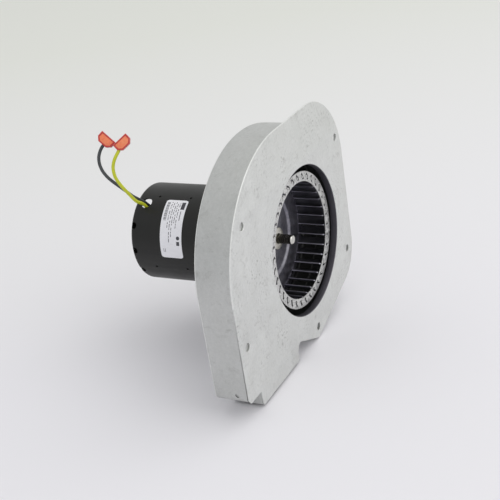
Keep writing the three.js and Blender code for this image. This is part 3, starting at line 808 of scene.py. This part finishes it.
def build_housing():
    # painted highlight: a brighter copy of the sheet for the plate's upper rim and the scroll's back edge
    bright = aluminised_sheet("rim_painted_highlight", 1.2, 0.1)
    # the plate's inlet lip gets a painted dark reflection
    flat = aluminised_sheet("plate_sheet", 1.06, lip_painted_reflection=True)
    # painted shade: a darker copy of the plate's sheet for the scroll cup and the outlet collar
    drawn = aluminised_sheet("drawn_sheet_painted_shade", 0.86, 0.1)
    plate, scroll = mounting_plate(), scroll_housing()
    finish(plate, "mounting_plate", "housing", flat)
    second_material(plate, bright, on_upper_rim)
    finish(scroll, "scroll_housing", "housing", drawn)
    # painted shade: a near-black copy of the sheet on the faces inside the scroll
    second_material(scroll, aluminised_sheet("inside_painted_shade", 0.14, 0.1), inside_scroll)
    second_material(scroll, bright, on_back_edge)
    finish(outlet_collar(), "outlet_collar", "housing", drawn)


def finish(piece, node, body, material):
    """Gives a piece its material and body. It stands for the CAD node of that name."""
    piece.data.materials.clear()
    piece.data.materials.append(material)
    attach(piece, body)
    if node:
        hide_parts(node)


# ---- fan wheel ----

WHEEL_R = 57.15
WHEEL_INNER_R = 48.7
WHEEL_FRONT = 4.6
WHEEL_BACK = 33.2
BLADES = 36
BLADE_INNER_R = WHEEL_INNER_R + 0.4
BLADE_OUTER_R = WHEEL_R - 1
BLADE_SWEEP = 2.6


def blade_angle(angle, radius):
    """How far round the wheel a curved blade has got at a radius."""
    t = (radius - BLADE_INNER_R) / (BLADE_OUTER_R - BLADE_INNER_R)
    return angle + 0.4 * t + 5.6 * t * t


def blade_line(angle, steps, inner=BLADE_INNER_R):
    """Points along a blade's section, from an inner radius to its tip."""
    radii = [inner + (BLADE_OUTER_R - inner) * i / steps for i in range(steps + 1)]
    return [polar(r, blade_angle(angle, r)) for r in radii]


def thick_line(line, thickness):
    """The outline of a strip of a thickness along a line, with rounded ends."""
    left, right = [], []
    for i, point in enumerate(line):
        ahead = Vector(line[min(i + 1, len(line) - 1)]) - Vector(line[max(i - 1, 0)])
        side = Vector((-ahead.y, ahead.x)).normalized() * (thickness / 2)
        left.append(tuple(Vector(point) + side))
        right.append(tuple(Vector(point) - side))
    return right + left[::-1]


def blade_levels(angle):
    """The inner edge of one blade as radius, angle and y: it sweeps outwards at both of its ends."""
    front, back = WHEEL_FRONT + 0.9, WHEEL_BACK - 0.9
    levels = []
    steps = [BLADE_SWEEP * t / 5 for t in range(6)]
    for y in [front + t for t in steps] + [back - t for t in steps[::-1]]:
        reach = min(1, min(y - front, back - y) / BLADE_SWEEP)
        r = BLADE_INNER_R + 2.4 * (1 - math.sqrt(1 - (1 - reach) ** 2))
        levels.append((r, blade_angle(angle, r), y))
    return levels


def blade(angle):
    """One blade: a curved strip whose inner edge sweeps back to the band at both of its ends."""
    wall, steps = 0.6, 8
    points = []
    levels = blade_levels(angle)
    for inner, _, y in levels:
        points.extend((x, y, z) for x, z in thick_line(blade_line(angle, steps, inner), wall))
    count = 2 * (steps + 1)
    faces = ring_walls([range(count)] * len(levels), 0)
    faces += [tuple(range(count)), tuple(range((len(levels) - 1) * count, len(levels) * count))]
    return mesh_piece("blade", points, faces, 50)


def wheel_blades():
    parts = [blade(360 * i / BLADES) for i in range(BLADES)]
    y = WHEEL_BACK - 1.75
    parts.append(turned("band", [(WHEEL_INNER_R + 2.2, y), (WHEEL_R - 0.6, y), (WHEEL_R - 0.6, y + 0.8),
                                 (WHEEL_INNER_R + 2.2, y + 0.8)], 126))
    whole = joined("blade_strip", parts)
    shade(whole, 50)
    return whole


def blade_edges():
    """The sheared inner edges of the blades. They carry a painted highlight: a brighter copy of the wheel's
    steel.
    """
    points, faces = [], []
    for i in range(BLADES):
        rings = []
        for r, angle, y in blade_levels(360 * i / BLADES):
            x, z = polar(r, angle)
            out = Vector(polar(1, angle))
            across = Vector((-out[1], out[0]))
            rings.append([(x + out[0] * a + across[0] * b, y, z + out[1] * a + across[1] * b)
                          for a, b in ((-0.25, -0.42), (0.35, -0.42), (0.35, 0.42), (-0.25, 0.42))])
        base = len(points)
        for ring in rings:
            points.extend(ring)
        faces.extend(ring_walls(rings, base))
        last = base + 4 * (len(rings) - 1)
        faces += [tuple(range(base, base + 4)), tuple(range(last, last + 4))]
    return mesh_piece("blade_edges", points, faces, 30)


def wheel_front_ring():
    """The flat front ring, with a rolled outer edge and a slot for each blade's tab."""
    y = WHEEL_FRONT
    ring = turned("wheel_ring", [
        (WHEEL_INNER_R, y + 0.2), (WHEEL_INNER_R + 0.2, y), (WHEEL_R - 0.5, y), (WHEEL_R - 0.15, y + 0.15),
        (WHEEL_R, y + 0.5), (WHEEL_R, y + 0.8), (WHEEL_INNER_R, y + 0.8)], 168, 25)
    slots = []
    for i in range(BLADES):
        outline = thick_line(blade_line(360 * i / BLADES, 12)[2:11], 2.6)
        slots.append(extruded("slot", outline, y - 1, y + 2))
    return carve(ring, joined("slots", slots), smooth_angle=25)


def blade_tabs():
    """Each blade's tab comes through its slot in the front ring and is bent over beside it."""
    tabs = []
    for i in range(BLADES):
        line = blade_line(360 * i / BLADES + 0.7, 12)[4:9]
        tabs.append(extruded("tab", thick_line(line, 0.5), WHEEL_FRONT - 0.35, WHEEL_FRONT + 1.2))
        bent = blade_line(360 * i / BLADES + 1.7, 12)[4:9]
        tabs.append(extruded("tab", thick_line(bent, 1.3), WHEEL_FRONT - 0.4, WHEEL_FRONT - 0.02))
    whole = joined("blade_tabs", tabs)
    return soften(whole, 0.12, 2)


DISH_DROP = 1.8


def wheel_back_plate():
    """The back plate: a shallow dish pressed towards the motor, and a rolled rim."""
    back, sheet, drop = WHEEL_BACK, 0.8, DISH_DROP
    face = [(7.5, back + drop), (33.6, back + drop), (34.3, back + drop - 0.12), (34.9, back + drop - 0.5),
            (35.6, back + 0.5), (36.2, back + 0.12), (36.9, back), (WHEEL_R - 0.3, back),
            (WHEEL_R, back - 0.3)]
    front = [(r, y - sheet) for r, y in face[:-1]][::-1]
    return turned("wheel_disc", face + [(WHEEL_R, back - sheet + 0.2)] + front, 168, 28)


def wheel_hub():
    seat = WHEEL_BACK + DISH_DROP - 0.8
    profile = [(4.05, 26.4), (4.6, 25.8), (8.5, 25.8), (9.15, 26.1), (9.35, 26.8), (9.35, seat - 0.1),
               (7.4, seat - 0.1), (7.4, seat + 0.9), (12.7, seat + 0.9), (13, seat + 1.2), (13, seat + 2.6),
               (12.7, seat + 2.9), (4.05, seat + 2.9)]
    hub = turned("hub_body", profile, 72, 30)
    return carve(hub, rod("cut", 1.75, (0, 28.1, 3), (0, 28.1, 12), 24), smooth_angle=30)


def set_screw():
    """A socket set screw, with a hexagon in its outer end."""
    screw = rod("screw_body", 1.6, (0, 28.1, 4.15), (0, 28.1, 8.75), 32)
    return carve(screw, rod("cut", 0.85, (0, 28.1, 7), (0, 28.1, 10), 6), smooth_angle=30)


def shaft():
    """The motor shaft, with a flat for the set screw at its front end."""
    r = 3.97
    front, rear, bevel = 12.5, 143, 0.7
    profile = [(0, front), (r - bevel, front), (r, front + bevel), (r, rear - bevel), (r - bevel, rear),
               (0, rear)]
    body = turned("shaft_bar", profile, 64, 30)
    flat = extruded("cut", [(-6, 3.4), (6, 3.4), (6, 6), (-6, 6)], 10, 30)
    return carve(body, flat, smooth_angle=30)


def build_wheel():
    steel = wheel_sheet("wheel_sheet", 0.72)
    finish(wheel_front_ring(), "wheel_front_ring", "rotor", ring_sheet())
    finish(wheel_blades(), "wheel_blades", "rotor", steel)
    # painted highlight on the blades' inner edges
    finish(blade_edges(), None, "rotor", wheel_sheet("blade_edge_painted_highlight", 1.5))
    finish(blade_tabs(), None, "rotor", ring_sheet())
    finish(wheel_back_plate(), "wheel_back_plate", "rotor", steel)
    finish(wheel_hub(), "wheel_hub", "rotor", zinc_plate())
    finish(set_screw(), "wheel_set_screw", "rotor",
           plastic("black_oxide", (0.05, 0.05, 0.05), (0.02, 0.02, 0.02)).material)
    bar = shaft()
    finish(bar, "shaft", "rotor",
           turned_steel("shaft_steel", (0.20, 0.19, 0.16), (0.10, 0.095, 0.08), 0.2))
    # painted highlight: a light copy of the shaft steel on the shaft's front end face
    end_highlight = turned_steel("shaft_end_painted_highlight", (0.85, 0.84, 0.80), (0.6, 0.59, 0.55))
    second_material(bar, end_highlight, lambda centre, normal: normal.y < -0.5)


def ring_sheet():
    """Aluminised steel with dark scuffs from the press."""
    surface = Surface("ring_sheet")
    surface.set(Metallic=0.8)
    haze = surface.noise(160, detail=5)
    scuff = surface.noise(420, detail=4, roughness=0.65, distortion=0.5)
    base = surface.ramp(haze, [(0.3, (0.52, 0.52, 0.51)), (0.7, (0.70, 0.70, 0.69))])
    surface.color(surface.mix(surface.ramp(scuff, [(0.52, 0.0), (0.66, 0.8)]), base, (0.16, 0.16, 0.155)))
    surface.roughness(surface.ramp(haze, [(0.3, 0.35), (0.7, 0.5)]))
    surface.bump(surface.noise(900, detail=2), 0.02, 0.3)
    return surface.material


# ---- motor ----

CAN_R = 42
CAN_WALL = 1.4
CAN_FRONT = 64
CAN_BACK = 146
LEAD_HOLE_ANGLE = 120.8
LEAD_HOLE_Y = 135.5
STAKE_ANGLES = (20.5, 110.5, 200.5, 290.5)


def sector(inner, outer, start, end, steps=16):
    return arc_points((0, 0), outer, start, end, steps) + arc_points((0, 0), inner, end, start, steps)


def motor_shell():
    """The drawn can: a rounded rear edge, windows in its rear end, vents round the rim and stakes."""
    edge = 3
    outer = [(CAN_R - edge + p[0], CAN_BACK - edge + p[1])
             for p in arc_points((0, 0), edge, 0, 90, 8)]
    inner_edge = edge - CAN_WALL
    inner = [(CAN_R - edge + p[0], CAN_BACK - edge + p[1])
             for p in arc_points((0, 0), inner_edge, 90, 0, 5)]
    bottom = CAN_BACK - CAN_WALL
    pocket = 9.6
    profile = [(CAN_R - 0.3, CAN_FRONT), (CAN_R, CAN_FRONT + 0.3)] + outer
    profile += [(14, CAN_BACK), (13.2, CAN_BACK - 0.15), (12.4, CAN_BACK - 0.7), (11.6, CAN_BACK - 0.85),
                (0, CAN_BACK - 0.85), (0, bottom - 0.85), (pocket, bottom - 0.85), (pocket, CAN_BACK - 10),
                (pocket + CAN_WALL, CAN_BACK - 10), (pocket + CAN_WALL, bottom)]
    profile += inner + [(CAN_R - CAN_WALL, CAN_FRONT)]
    can = turned("can", profile, 144, 30)
    windows = []
    for a in (38, 98, 158, 218, 278, 338):
        corners = sector(16, 34, a - 22, a + 22)
        windows.append(extruded("window", corners, CAN_BACK - 2.9, CAN_BACK + 1))
    vents = [rod("vent", 2.8, radial(36, a, 143), radial(46, a, 143), 28)
             for a in (0, 30, 150, 180, 210, 240, 270, 300, 330)]
    ends = [radial(r, LEAD_HOLE_ANGLE, LEAD_HOLE_Y) for r in (36, 46)]
    lead = rod("lead_cut", 5, *ends, 40)
    stakes = [rod("stake", 1.1, radial(41.3, a, y), radial(46, a, y), 20)
              for a in STAKE_ANGLES for y in (94.7, 125.3)]
    can = carve(can, joined("windows", windows), joined("vents", vents + [lead]), joined("stakes", stakes),
                smooth_angle=30)
    return can


def front_bell():
    """The cast front end bell, with cooling windows and its bearing boss."""
    rim = CAN_FRONT - 0.15
    profile = [(5.2, 58.3), (5.6, 58), (11.2, 58), (11.8, 58.5), (12.6, 61.2), (13.2, 61.6), (40.6, 61.6),
               (41.6, 61.9), (42, 62.7), (42, rim), (40.4, rim), (40.4, 69), (38.6, 69), (38.6, rim),
               (11.6, rim), (11.6, 72), (9.6, 72), (9.6, 59.5), (5.2, 59.5)]
    bell = turned("bell", profile, 120, 30)
    windows = [extruded("window", sector(17, 30, a - 28, a + 28), 55, 66) for a in (0, 90, 180, 270)]
    threads = [rod("thread", 2.1, (*polar(STANDOFF_CIRCLE, a)[:1], 58, polar(STANDOFF_CIRCLE, a)[1]),
                   (polar(STANDOFF_CIRCLE, a)[0], 68, polar(STANDOFF_CIRCLE, a)[1]), 20)
               for a in STANDOFF_ANGLES]
    return carve(bell, joined("windows", windows), joined("threads", threads), smooth_angle=30)


def cooling_fan():
    """A pressed disc with eight curved blades bent up from it, on a turned hub."""
    hub = turned("hub", [(4.05, 45.2), (7.6, 45.2), (8, 45.6), (8, 55.6), (7.6, 56), (4.05, 56)], 48)
    disc = turned("disc", [(7, 48.2), (29.8, 48.2), (30, 48.5), (30, 48.9), (29.8, 49.2), (7, 49.2)], 96)
    parts = [hub, disc]
    for i in range(8):
        line = [polar(15 + 14 * t / 6, 360 * i / 8 - 9 * (t / 6) ** 2) for t in range(7)]
        parts.append(extruded("blade", thick_line(line, 0.9), 48.6, 57, 40))
    whole = joined("cooling_impeller", parts)
    shade(whole, 35)
    return whole


def standoff(angle, name):
    x, z = polar(STANDOFF_CIRCLE, angle)
    profile = [(2.2, 39.15), (3.2, 39.15), (3.5, 39.45), (3.5, 61.15), (3.2, 61.45), (2.2, 61.45)]
    body = turned(name, profile, 32)
    body.data.transform(Matrix.Translation(Vector((x, 0, z)) * MM))
    return body


def bolt(angle, name):
    """A pan-head bolt with a cross recess, put in from inside the scroll."""
    x, z = polar(STANDOFF_CIRCLE, angle)
    seat = SCROLL_BACK - SHEET - 0.15
    profile = [(0, seat - 1.9), (1.6, seat - 1.88), (2.8, seat - 1.6), (3.4, seat - 1.1),
               (3.6, seat - 0.5), (3.6, seat), (1.9, seat), (1.9, 66.6), (1.5, 67), (0, 67)]
    body = turned(name, profile, 32)
    body.data.transform(Matrix.Translation(Vector((x, 0, z)) * MM))
    crosses = []
    for a, b in ((1.9, 0.35), (0.35, 1.9)):
        outline = [(x - a, z - b), (x + a, z - b), (x + a, z + b), (x - a, z + b)]
        crosses.append(extruded("cut", outline, 34, seat - 1.1))
    return carve(body, *crosses)


COIL = {"width": 13.6, "length": 20.4, "inner_width": 8.4, "inner_length": 14.6, "start": 27.2, "depth": 4.8}


def coil(angle, name):
    """A wound coil: layers of round wire wrapped round a pole's neck."""
    wire = 0.95
    pitch = 0.93
    parts = []
    across = 5
    layers = 5
    for layer in range(layers):
        for row in range(across):
            if 0 < layer < layers - 1 and 0 < row < across - 1:
                continue
            grow = (layer + 0.5) * (COIL["width"] - COIL["inner_width"]) / layers
            w = COIL["inner_width"] + grow
            l = COIL["inner_length"] + 0.6 + (layer + 0.5) * 1.02
            r = 1.2 + grow * 0.8
            radius_at = COIL["start"] + (row + 0.5) * COIL["depth"] / across
            outline = rounded_profile([(-w, -l, r), (w, -l, r), (w, l, r), (-w, l, r)], 6)
            parts.append((outline, radius_at, wire / 2 * pitch))
    points, faces = [], []
    sides = 6
    for outline, radius_at, wire_r in parts:
        base = len(points)
        count = len(outline)
        for i, (t, s) in enumerate(outline):
            ahead = Vector(outline[(i + 1) % count]) - Vector(outline[i - 1])
            side = Vector((ahead.y, -ahead.x)).normalized()
            for k in range(sides):
                c, d = polar(wire_r, 360 * k / sides)
                points.append((radius_at + d, s + side.y * c, t + side.x * c))
        for i in range(count):
            low, high = base + i * sides, base + ((i + 1) % count) * sides
            for k in range(sides):
                m = (k + 1) % sides
                faces.append((low + k, low + m, high + m, high + k))
    piece = mesh_piece(name, points, faces, 60)
    turn = Matrix.Rotation(-math.radians(angle), 4, "Y")
    piece.data.transform(Matrix.Translation((0, 110 * MM, 0)) @ turn)
    return piece


LABEL = {"start": 115, "end": 185, "front": 95, "back": 116}


def label_point(u, v, lift):
    """A point on the label: u runs round the can in degrees, v along the shaft in millimetres."""
    x, z = polar(CAN_R + lift, u)
    return (x, v, z)


def label_patch(name, patches, lift):
    """Thin curved patches on the can, each given by its outline in degrees and millimetres."""
    points, faces = [], []
    for outline in patches:
        base = len(points)
        points.extend(label_point(u, v, lift) for u, v in outline)
        points.extend(label_point(u, v, lift - 0.03) for u, v in outline)
        count = len(outline)
        faces.append(tuple(range(base, base + count)))
        faces.append(tuple(range(base + count, base + 2 * count))[::-1])
        faces.extend((base + i, base + count + i, base + count + (i + 1) % count, base + (i + 1) % count)
                     for i in range(count))
    return mesh_piece(name, points, faces)


def label_sheet():
    """The label's paper, as a grid that follows the can, with rounded corners."""
    per_degree = math.radians(1) * CAN_R
    half_w = (LABEL["end"] - LABEL["start"]) * per_degree / 2
    mid_u = (LABEL["start"] + LABEL["end"]) / 2
    mid_v = (LABEL["front"] + LABEL["back"]) / 2
    half_h = (LABEL["back"] - LABEL["front"]) / 2
    corner = 2.2
    columns = 72
    points, faces = [], []
    for i in range(columns + 1):
        t = -1 + 2 * i / columns
        along = half_w * t
        cut = max(0.0, abs(along) - (half_w - corner))
        h = half_h - corner + math.sqrt(max(corner * corner - cut * cut, 0))
        for v in (mid_v - h, mid_v + h):
            for lift in (0.28, 0.1):
                points.append(label_point(mid_u + along / per_degree, v, lift))
    for i in range(columns):
        a, b = 4 * i, 4 * (i + 1)
        faces += [(a, a + 2, b + 2, b), (a + 1, b + 1, b + 3, a + 3), (a, b, b + 1, a + 1),
                  (a + 2, a + 3, b + 3, b + 2)]
    faces += [(0, 1, 3, 2), (4 * columns, 4 * columns + 2, 4 * columns + 3, 4 * columns + 1)]
    return mesh_piece("label_paper", points, faces, 40)


def bar(u0, u1, v0, v1):
    """An upright patch between two angles, split so that it follows the can."""
    steps = max(1, math.ceil(abs(u1 - u0) / 2))
    us = [u0 + (u1 - u0) * i / steps for i in range(steps + 1)]
    return [[(a, v0), (b, v0), (b, v1), (a, v1)] for a, b in zip(us, us[1:])]


def label_print():
    """Generic print: a bar block, ruled lines of dashes and two plain marks. It spells nothing."""
    patches = []
    u = 118.5
    widths = [0.5, 0.9, 0.4, 0.6, 1.0, 0.4, 0.8, 0.5]
    k = 0
    while u < 141:
        width = widths[k % len(widths)]
        patches += bar(u, u + width, 111.6, 114.4)
        u += width + 0.45 + 0.15 * (k % 3)
        k += 1
    rows = [(109.6, 118, 150), (107.5, 119, 168), (105.5, 118, 160), (103.6, 120, 146), (101.6, 119, 150)]
    for r, (v, start, end) in enumerate(rows):
        u, k = start, r
        while u < end:
            width = (1.6, 3.2, 2.2, 4.4)[k % 4]
            patches += bar(u, min(u + width, end), v - 0.28, v + 0.28)
            u += width + (1.2, 0.8, 2.6)[k % 3]
            k += 1
    patches += bar(118, 127.5, 96.6, 100.2)
    patches += bar(129.5, 141, 98.6, 99.2)
    patches += bar(165, 169.5, 97.2, 100)
    patches.append([(161 + polar(2.2, a)[0], 98.6 + polar(1.6, a)[1]) for a in range(0, 360, 20)])
    for v in (112.6, 111.2):
        patches += bar(174, 178, v, v + 0.4)
    return label_patch("label_print", patches, 0.31)


def build_motor():
    paint = black_paint()
    finish(motor_shell(), "motor_shell", "housing", paint)
    finish(front_bell(), "front_end_bell", "housing", cast_aluminium())
    finish(cooling_fan(), "cooling_fan", "rotor", ring_sheet())
    zinc = zinc_plate()
    copper = copper_wire()
    for i, angle in enumerate(STANDOFF_ANGLES, 1):
        finish(standoff(angle, f"spacer_{i}"), f"standoff_{i}", "housing", zinc)
        finish(bolt(angle, f"bolt_{i}"), f"mounting_bolt_{i}", "housing", zinc)
        finish(coil(angle, f"winding_{i}"), f"stator_coil_{i}", "housing", copper)
    finish(label_sheet(), "rating_label", "housing", label_paper())
    ink = plastic("label_ink", (0.07, 0.07, 0.08), (0.04, 0.04, 0.05)).material
    finish(label_print(), None, "housing", ink)


def dress_hidden_parts():
    """Inner CAD parts keep their shapes and get materials."""
    steel = laminations()
    metal = cast_aluminium()
    zinc = zinc_plate()
    brass = bronze()
    fibre = plastic("fibre", (0.30, 0.17, 0.09), (0.20, 0.11, 0.06)).material
    copper = copper_wire()
    looks = {
        "stator_core": steel, "rotor_core": steel, "rotor_end_ring_front": metal,
        "rotor_end_ring_rear": metal, "front_bearing": brass, "rear_bearing": brass,
        "front_bearing_retainer": zinc, "rear_bearing_retainer": zinc,
        "thrust_washer_front": fibre, "thrust_washer_rear": fibre,
    }
    looks.update({f"shading_ring_{i}": copper for i in range(1, 5)})
    for node, material in looks.items():
        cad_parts[node].data.materials.clear()
        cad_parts[node].data.materials.append(material)


# ---- leads and terminals ----

LEAD_R = 1.4
BLACK_ROUTE = [
    (-12, 134, 21), (-15, 134.6, 26), (-18.2, 135.9, 31.6), (-21.3, 137.6, 36.2), (-24.8, 140.2, 40.3),
    (-28.2, 143.4, 44.6), (-30.3, 146.6, 49), (-32.6, 150, 53.8), (-35.3, 153.9, 59.2), (-37.2, 157.7, 64.4),
    (-37.9, 160.8, 69.4), (-37.6, 162.8, 73.5), (-36.5, 164.2, 77.4), (-34.8, 164.9, 81.2),
    (-32.6, 164.8, 84.6), (-30.2, 164, 87.6), (-27.8, 162, 90.7),
]
YELLOW_ROUTE = [
    (-20, 132.6, 18), (-20.8, 133.6, 23), (-21.5, 134.7, 28.7), (-23.2, 136, 33.8),
    (-26.3, 137.4, 37.6), (-30.2, 139, 40.8), (-32.5, 140.4, 44.6), (-34.4, 142.2, 49.2),
    (-36.2, 144.8, 54.6), (-37.3, 147.4, 59.6), (-37.8, 149.6, 64.6), (-37.4, 150.8, 69.4),
    (-36.2, 151.3, 73.8), (-34.2, 150.8, 78), (-32, 149.6, 81.6), (-29.6, 148, 84.8),
    (-28.5, 147.3, 86.3),
]


def smooth_route(route, per_span=5):
    """A Catmull-Rom curve through the route's points."""
    ends = [2 * Vector(route[0]) - Vector(route[1])] + [Vector(p) for p in route]
    ends.append(2 * Vector(route[-1]) - Vector(route[-2]))
    line = []
    for i in range(len(route) - 1):
        a, b, c, d = ends[i:i + 4]
        for k in range(per_span):
            t = k / per_span
            line.append(0.5 * ((2 * b) + (c - a) * t + (2 * a - 5 * b + 4 * c - d) * t * t
                               + (3 * b - a - 3 * c + d) * t ** 3))
    return line + [ends[-2]]


def swept(name, line, radius, sides=16):
    """A round tube along a line of points, in millimetres."""
    points, faces = [], []
    side = Vector((1, 0, 0))
    for i, point in enumerate(line):
        ahead = (line[min(i + 1, len(line) - 1)] - line[max(i - 1, 0)]).normalized()
        side = (side - ahead * side.dot(ahead)).normalized()
        other = ahead.cross(side)
        for k in range(sides):
            c, s = polar(radius, 360 * k / sides)
            points.append(point + side * c + other * s)
    for i in range(len(line) - 1):
        for k in range(sides):
            n = (k + 1) % sides
            faces.append((i * sides + k, i * sides + n, (i + 1) * sides + n, (i + 1) * sides + k))
    faces.append(tuple(range(sides))[::-1])
    faces.append(tuple(range((len(line) - 1) * sides, len(line) * sides)))
    return mesh_piece(name, points, faces, 50)


def terminal_frame(centre, along, up):
    x = Vector(along).normalized()
    z = x.cross(Vector(up)).normalized()
    y = z.cross(x)
    turn = Matrix((x, y, z)).transposed().to_4x4()
    return Matrix.Translation(Vector(centre) * MM) @ turn


def prism(name, outline, z0, z1):
    """A prism along z, in a terminal's own frame, from an outline in x and y."""
    points = [(x, y, z0) for x, y in outline] + [(x, y, z1) for x, y in outline]
    return mesh_piece(name, points, prism_faces(len(outline)))


def terminal_cover(name):
    """A vinyl flag insulator: half an octagon, open at its end, with a rim round each face."""
    half, up, chamfer, thick = 7.3, 4.3, 3.2, 2.5
    outline = [(half, up), (-half, up), (-half, chamfer - up), (chamfer - half, -up), (half - chamfer, -up),
               (half, chamfer - up)][::-1]
    body = soften(prism(name, outline, -thick, thick), 0.35, 2, 30, 30)
    panel = [(x * 0.84, y * 0.76) for x, y in outline]
    spans = ((-thick - 1, 0.35 - thick), (thick - 0.35, thick + 1))
    panels = [prism("panel", panel, *span) for span in spans]
    mouth = prism("mouth", [(-5.3, -1.6), (9, -1.6), (9, 3.8), (-5.3, 3.8)], -1.05, 1.05)
    return carve(body, *panels, mouth, smooth_angle=30)


def terminal_panels(name):
    """The faces of an insulator, each with three short ribs. They use a paler copy of the vinyl that paints
    the light showing through the thin faces.
    """
    corners = [(5.7, 2.95), (-5.7, 2.95), (-5.7, -0.9), (-3.2, -2.95), (3.2, -2.95), (5.7, -0.9)][::-1]
    parts = []
    for side in (-1, 1):
        low, high = sorted((side * 2.1, side * 2.25))
        parts.append(soften(prism("face", corners, low, high), 0.05))
        for x in (-2.6, 0, 2.6):
            low, high = sorted((side * 2.2, side * 2.45))
            rib = prism("rib", [(x - 0.7, -1.3), (x + 0.4, -1.3), (x + 0.9, 1.3), (x - 0.2, 1.3)], low, high)
            parts.append(soften(rib, 0.08))
    whole = joined(name, parts)
    shade(whole, 30)
    return whole


def terminal_metal(name):
    """The tinned receptacle inside the insulator, with its edges rolled over."""
    base = prism(name, [(-4.4, -1.4), (6.6, -1.4), (6.6, 3.3), (-4.4, 3.3)], -0.8, -0.35)
    parts = [soften(base, 0.1)]
    for y in (-0.9, 2.8):
        line = [Vector((x, y, 0.25)) for x in (-4.2, 0, 3, 6.4)]
        parts.append(swept("roll", line, 0.5, 12))
    whole = joined(name, parts)
    shade(whole, 40)
    return whole


TERMINALS = {
    "black": ((-25.8, 160.9, 93.2), (0.04, -0.71, -0.7), (0.62, -0.53, 0.57)),
    "yellow": ((-24.6, 144.8, 90.8), (-0.62, 0.59, -0.52), (0.01, 0.67, 0.75)),
}


def build_leads():
    black = plastic("black_vinyl", (0.055, 0.06, 0.065), (0.035, 0.04, 0.045), 0.3, 0.45).material
    yellow = plastic("yellow_vinyl", (0.62, 0.66, 0.035), (0.54, 0.58, 0.025), 0.3, 0.45).material
    vinyl = vinyl_insulator("orange_vinyl", (0.62, 0.045, 0.035), (0.50, 0.03, 0.025))
    # painted light: a paler copy of the orange vinyl for the insulators' thin faces
    lit_vinyl = vinyl_insulator("vinyl_painted_light", (0.93, 0.30, 0.13), (0.86, 0.19, 0.08))
    tin = zinc_plate()
    for color, route, material in (("black", BLACK_ROUTE, black), ("yellow", YELLOW_ROUTE, yellow)):
        frame = terminal_frame(*TERMINALS[color])
        line = smooth_route(route)
        wire = swept(f"wire_{color}", line, LEAD_R)
        finish(wire, f"lead_{color}", "housing", material)
        cover = terminal_cover(f"insulator_{color}")
        panels = terminal_panels(f"insulator_faces_{color}")
        metal = terminal_metal(f"tab_grip_{color}")
        for piece in (cover, panels, metal):
            piece.data.transform(frame)
        inwards = (line[-1] - line[-2]).normalized()
        start, end = line[-1] - 5 * inwards, line[-1] + 0.2 * inwards
        for piece in (cover, panels, metal):
            carve(piece, rod("entry", LEAD_R + 0.1, start, end, 24))
        finish(cover, f"terminal_{color}", "housing", vinyl)
        finish(panels, None, "housing", lit_vinyl)
        finish(metal, f"receptacle_{color}", "housing", tin)


camera()
studio()
build_leads()
build_housing()
build_wheel()
build_motor()
dress_hidden_parts()
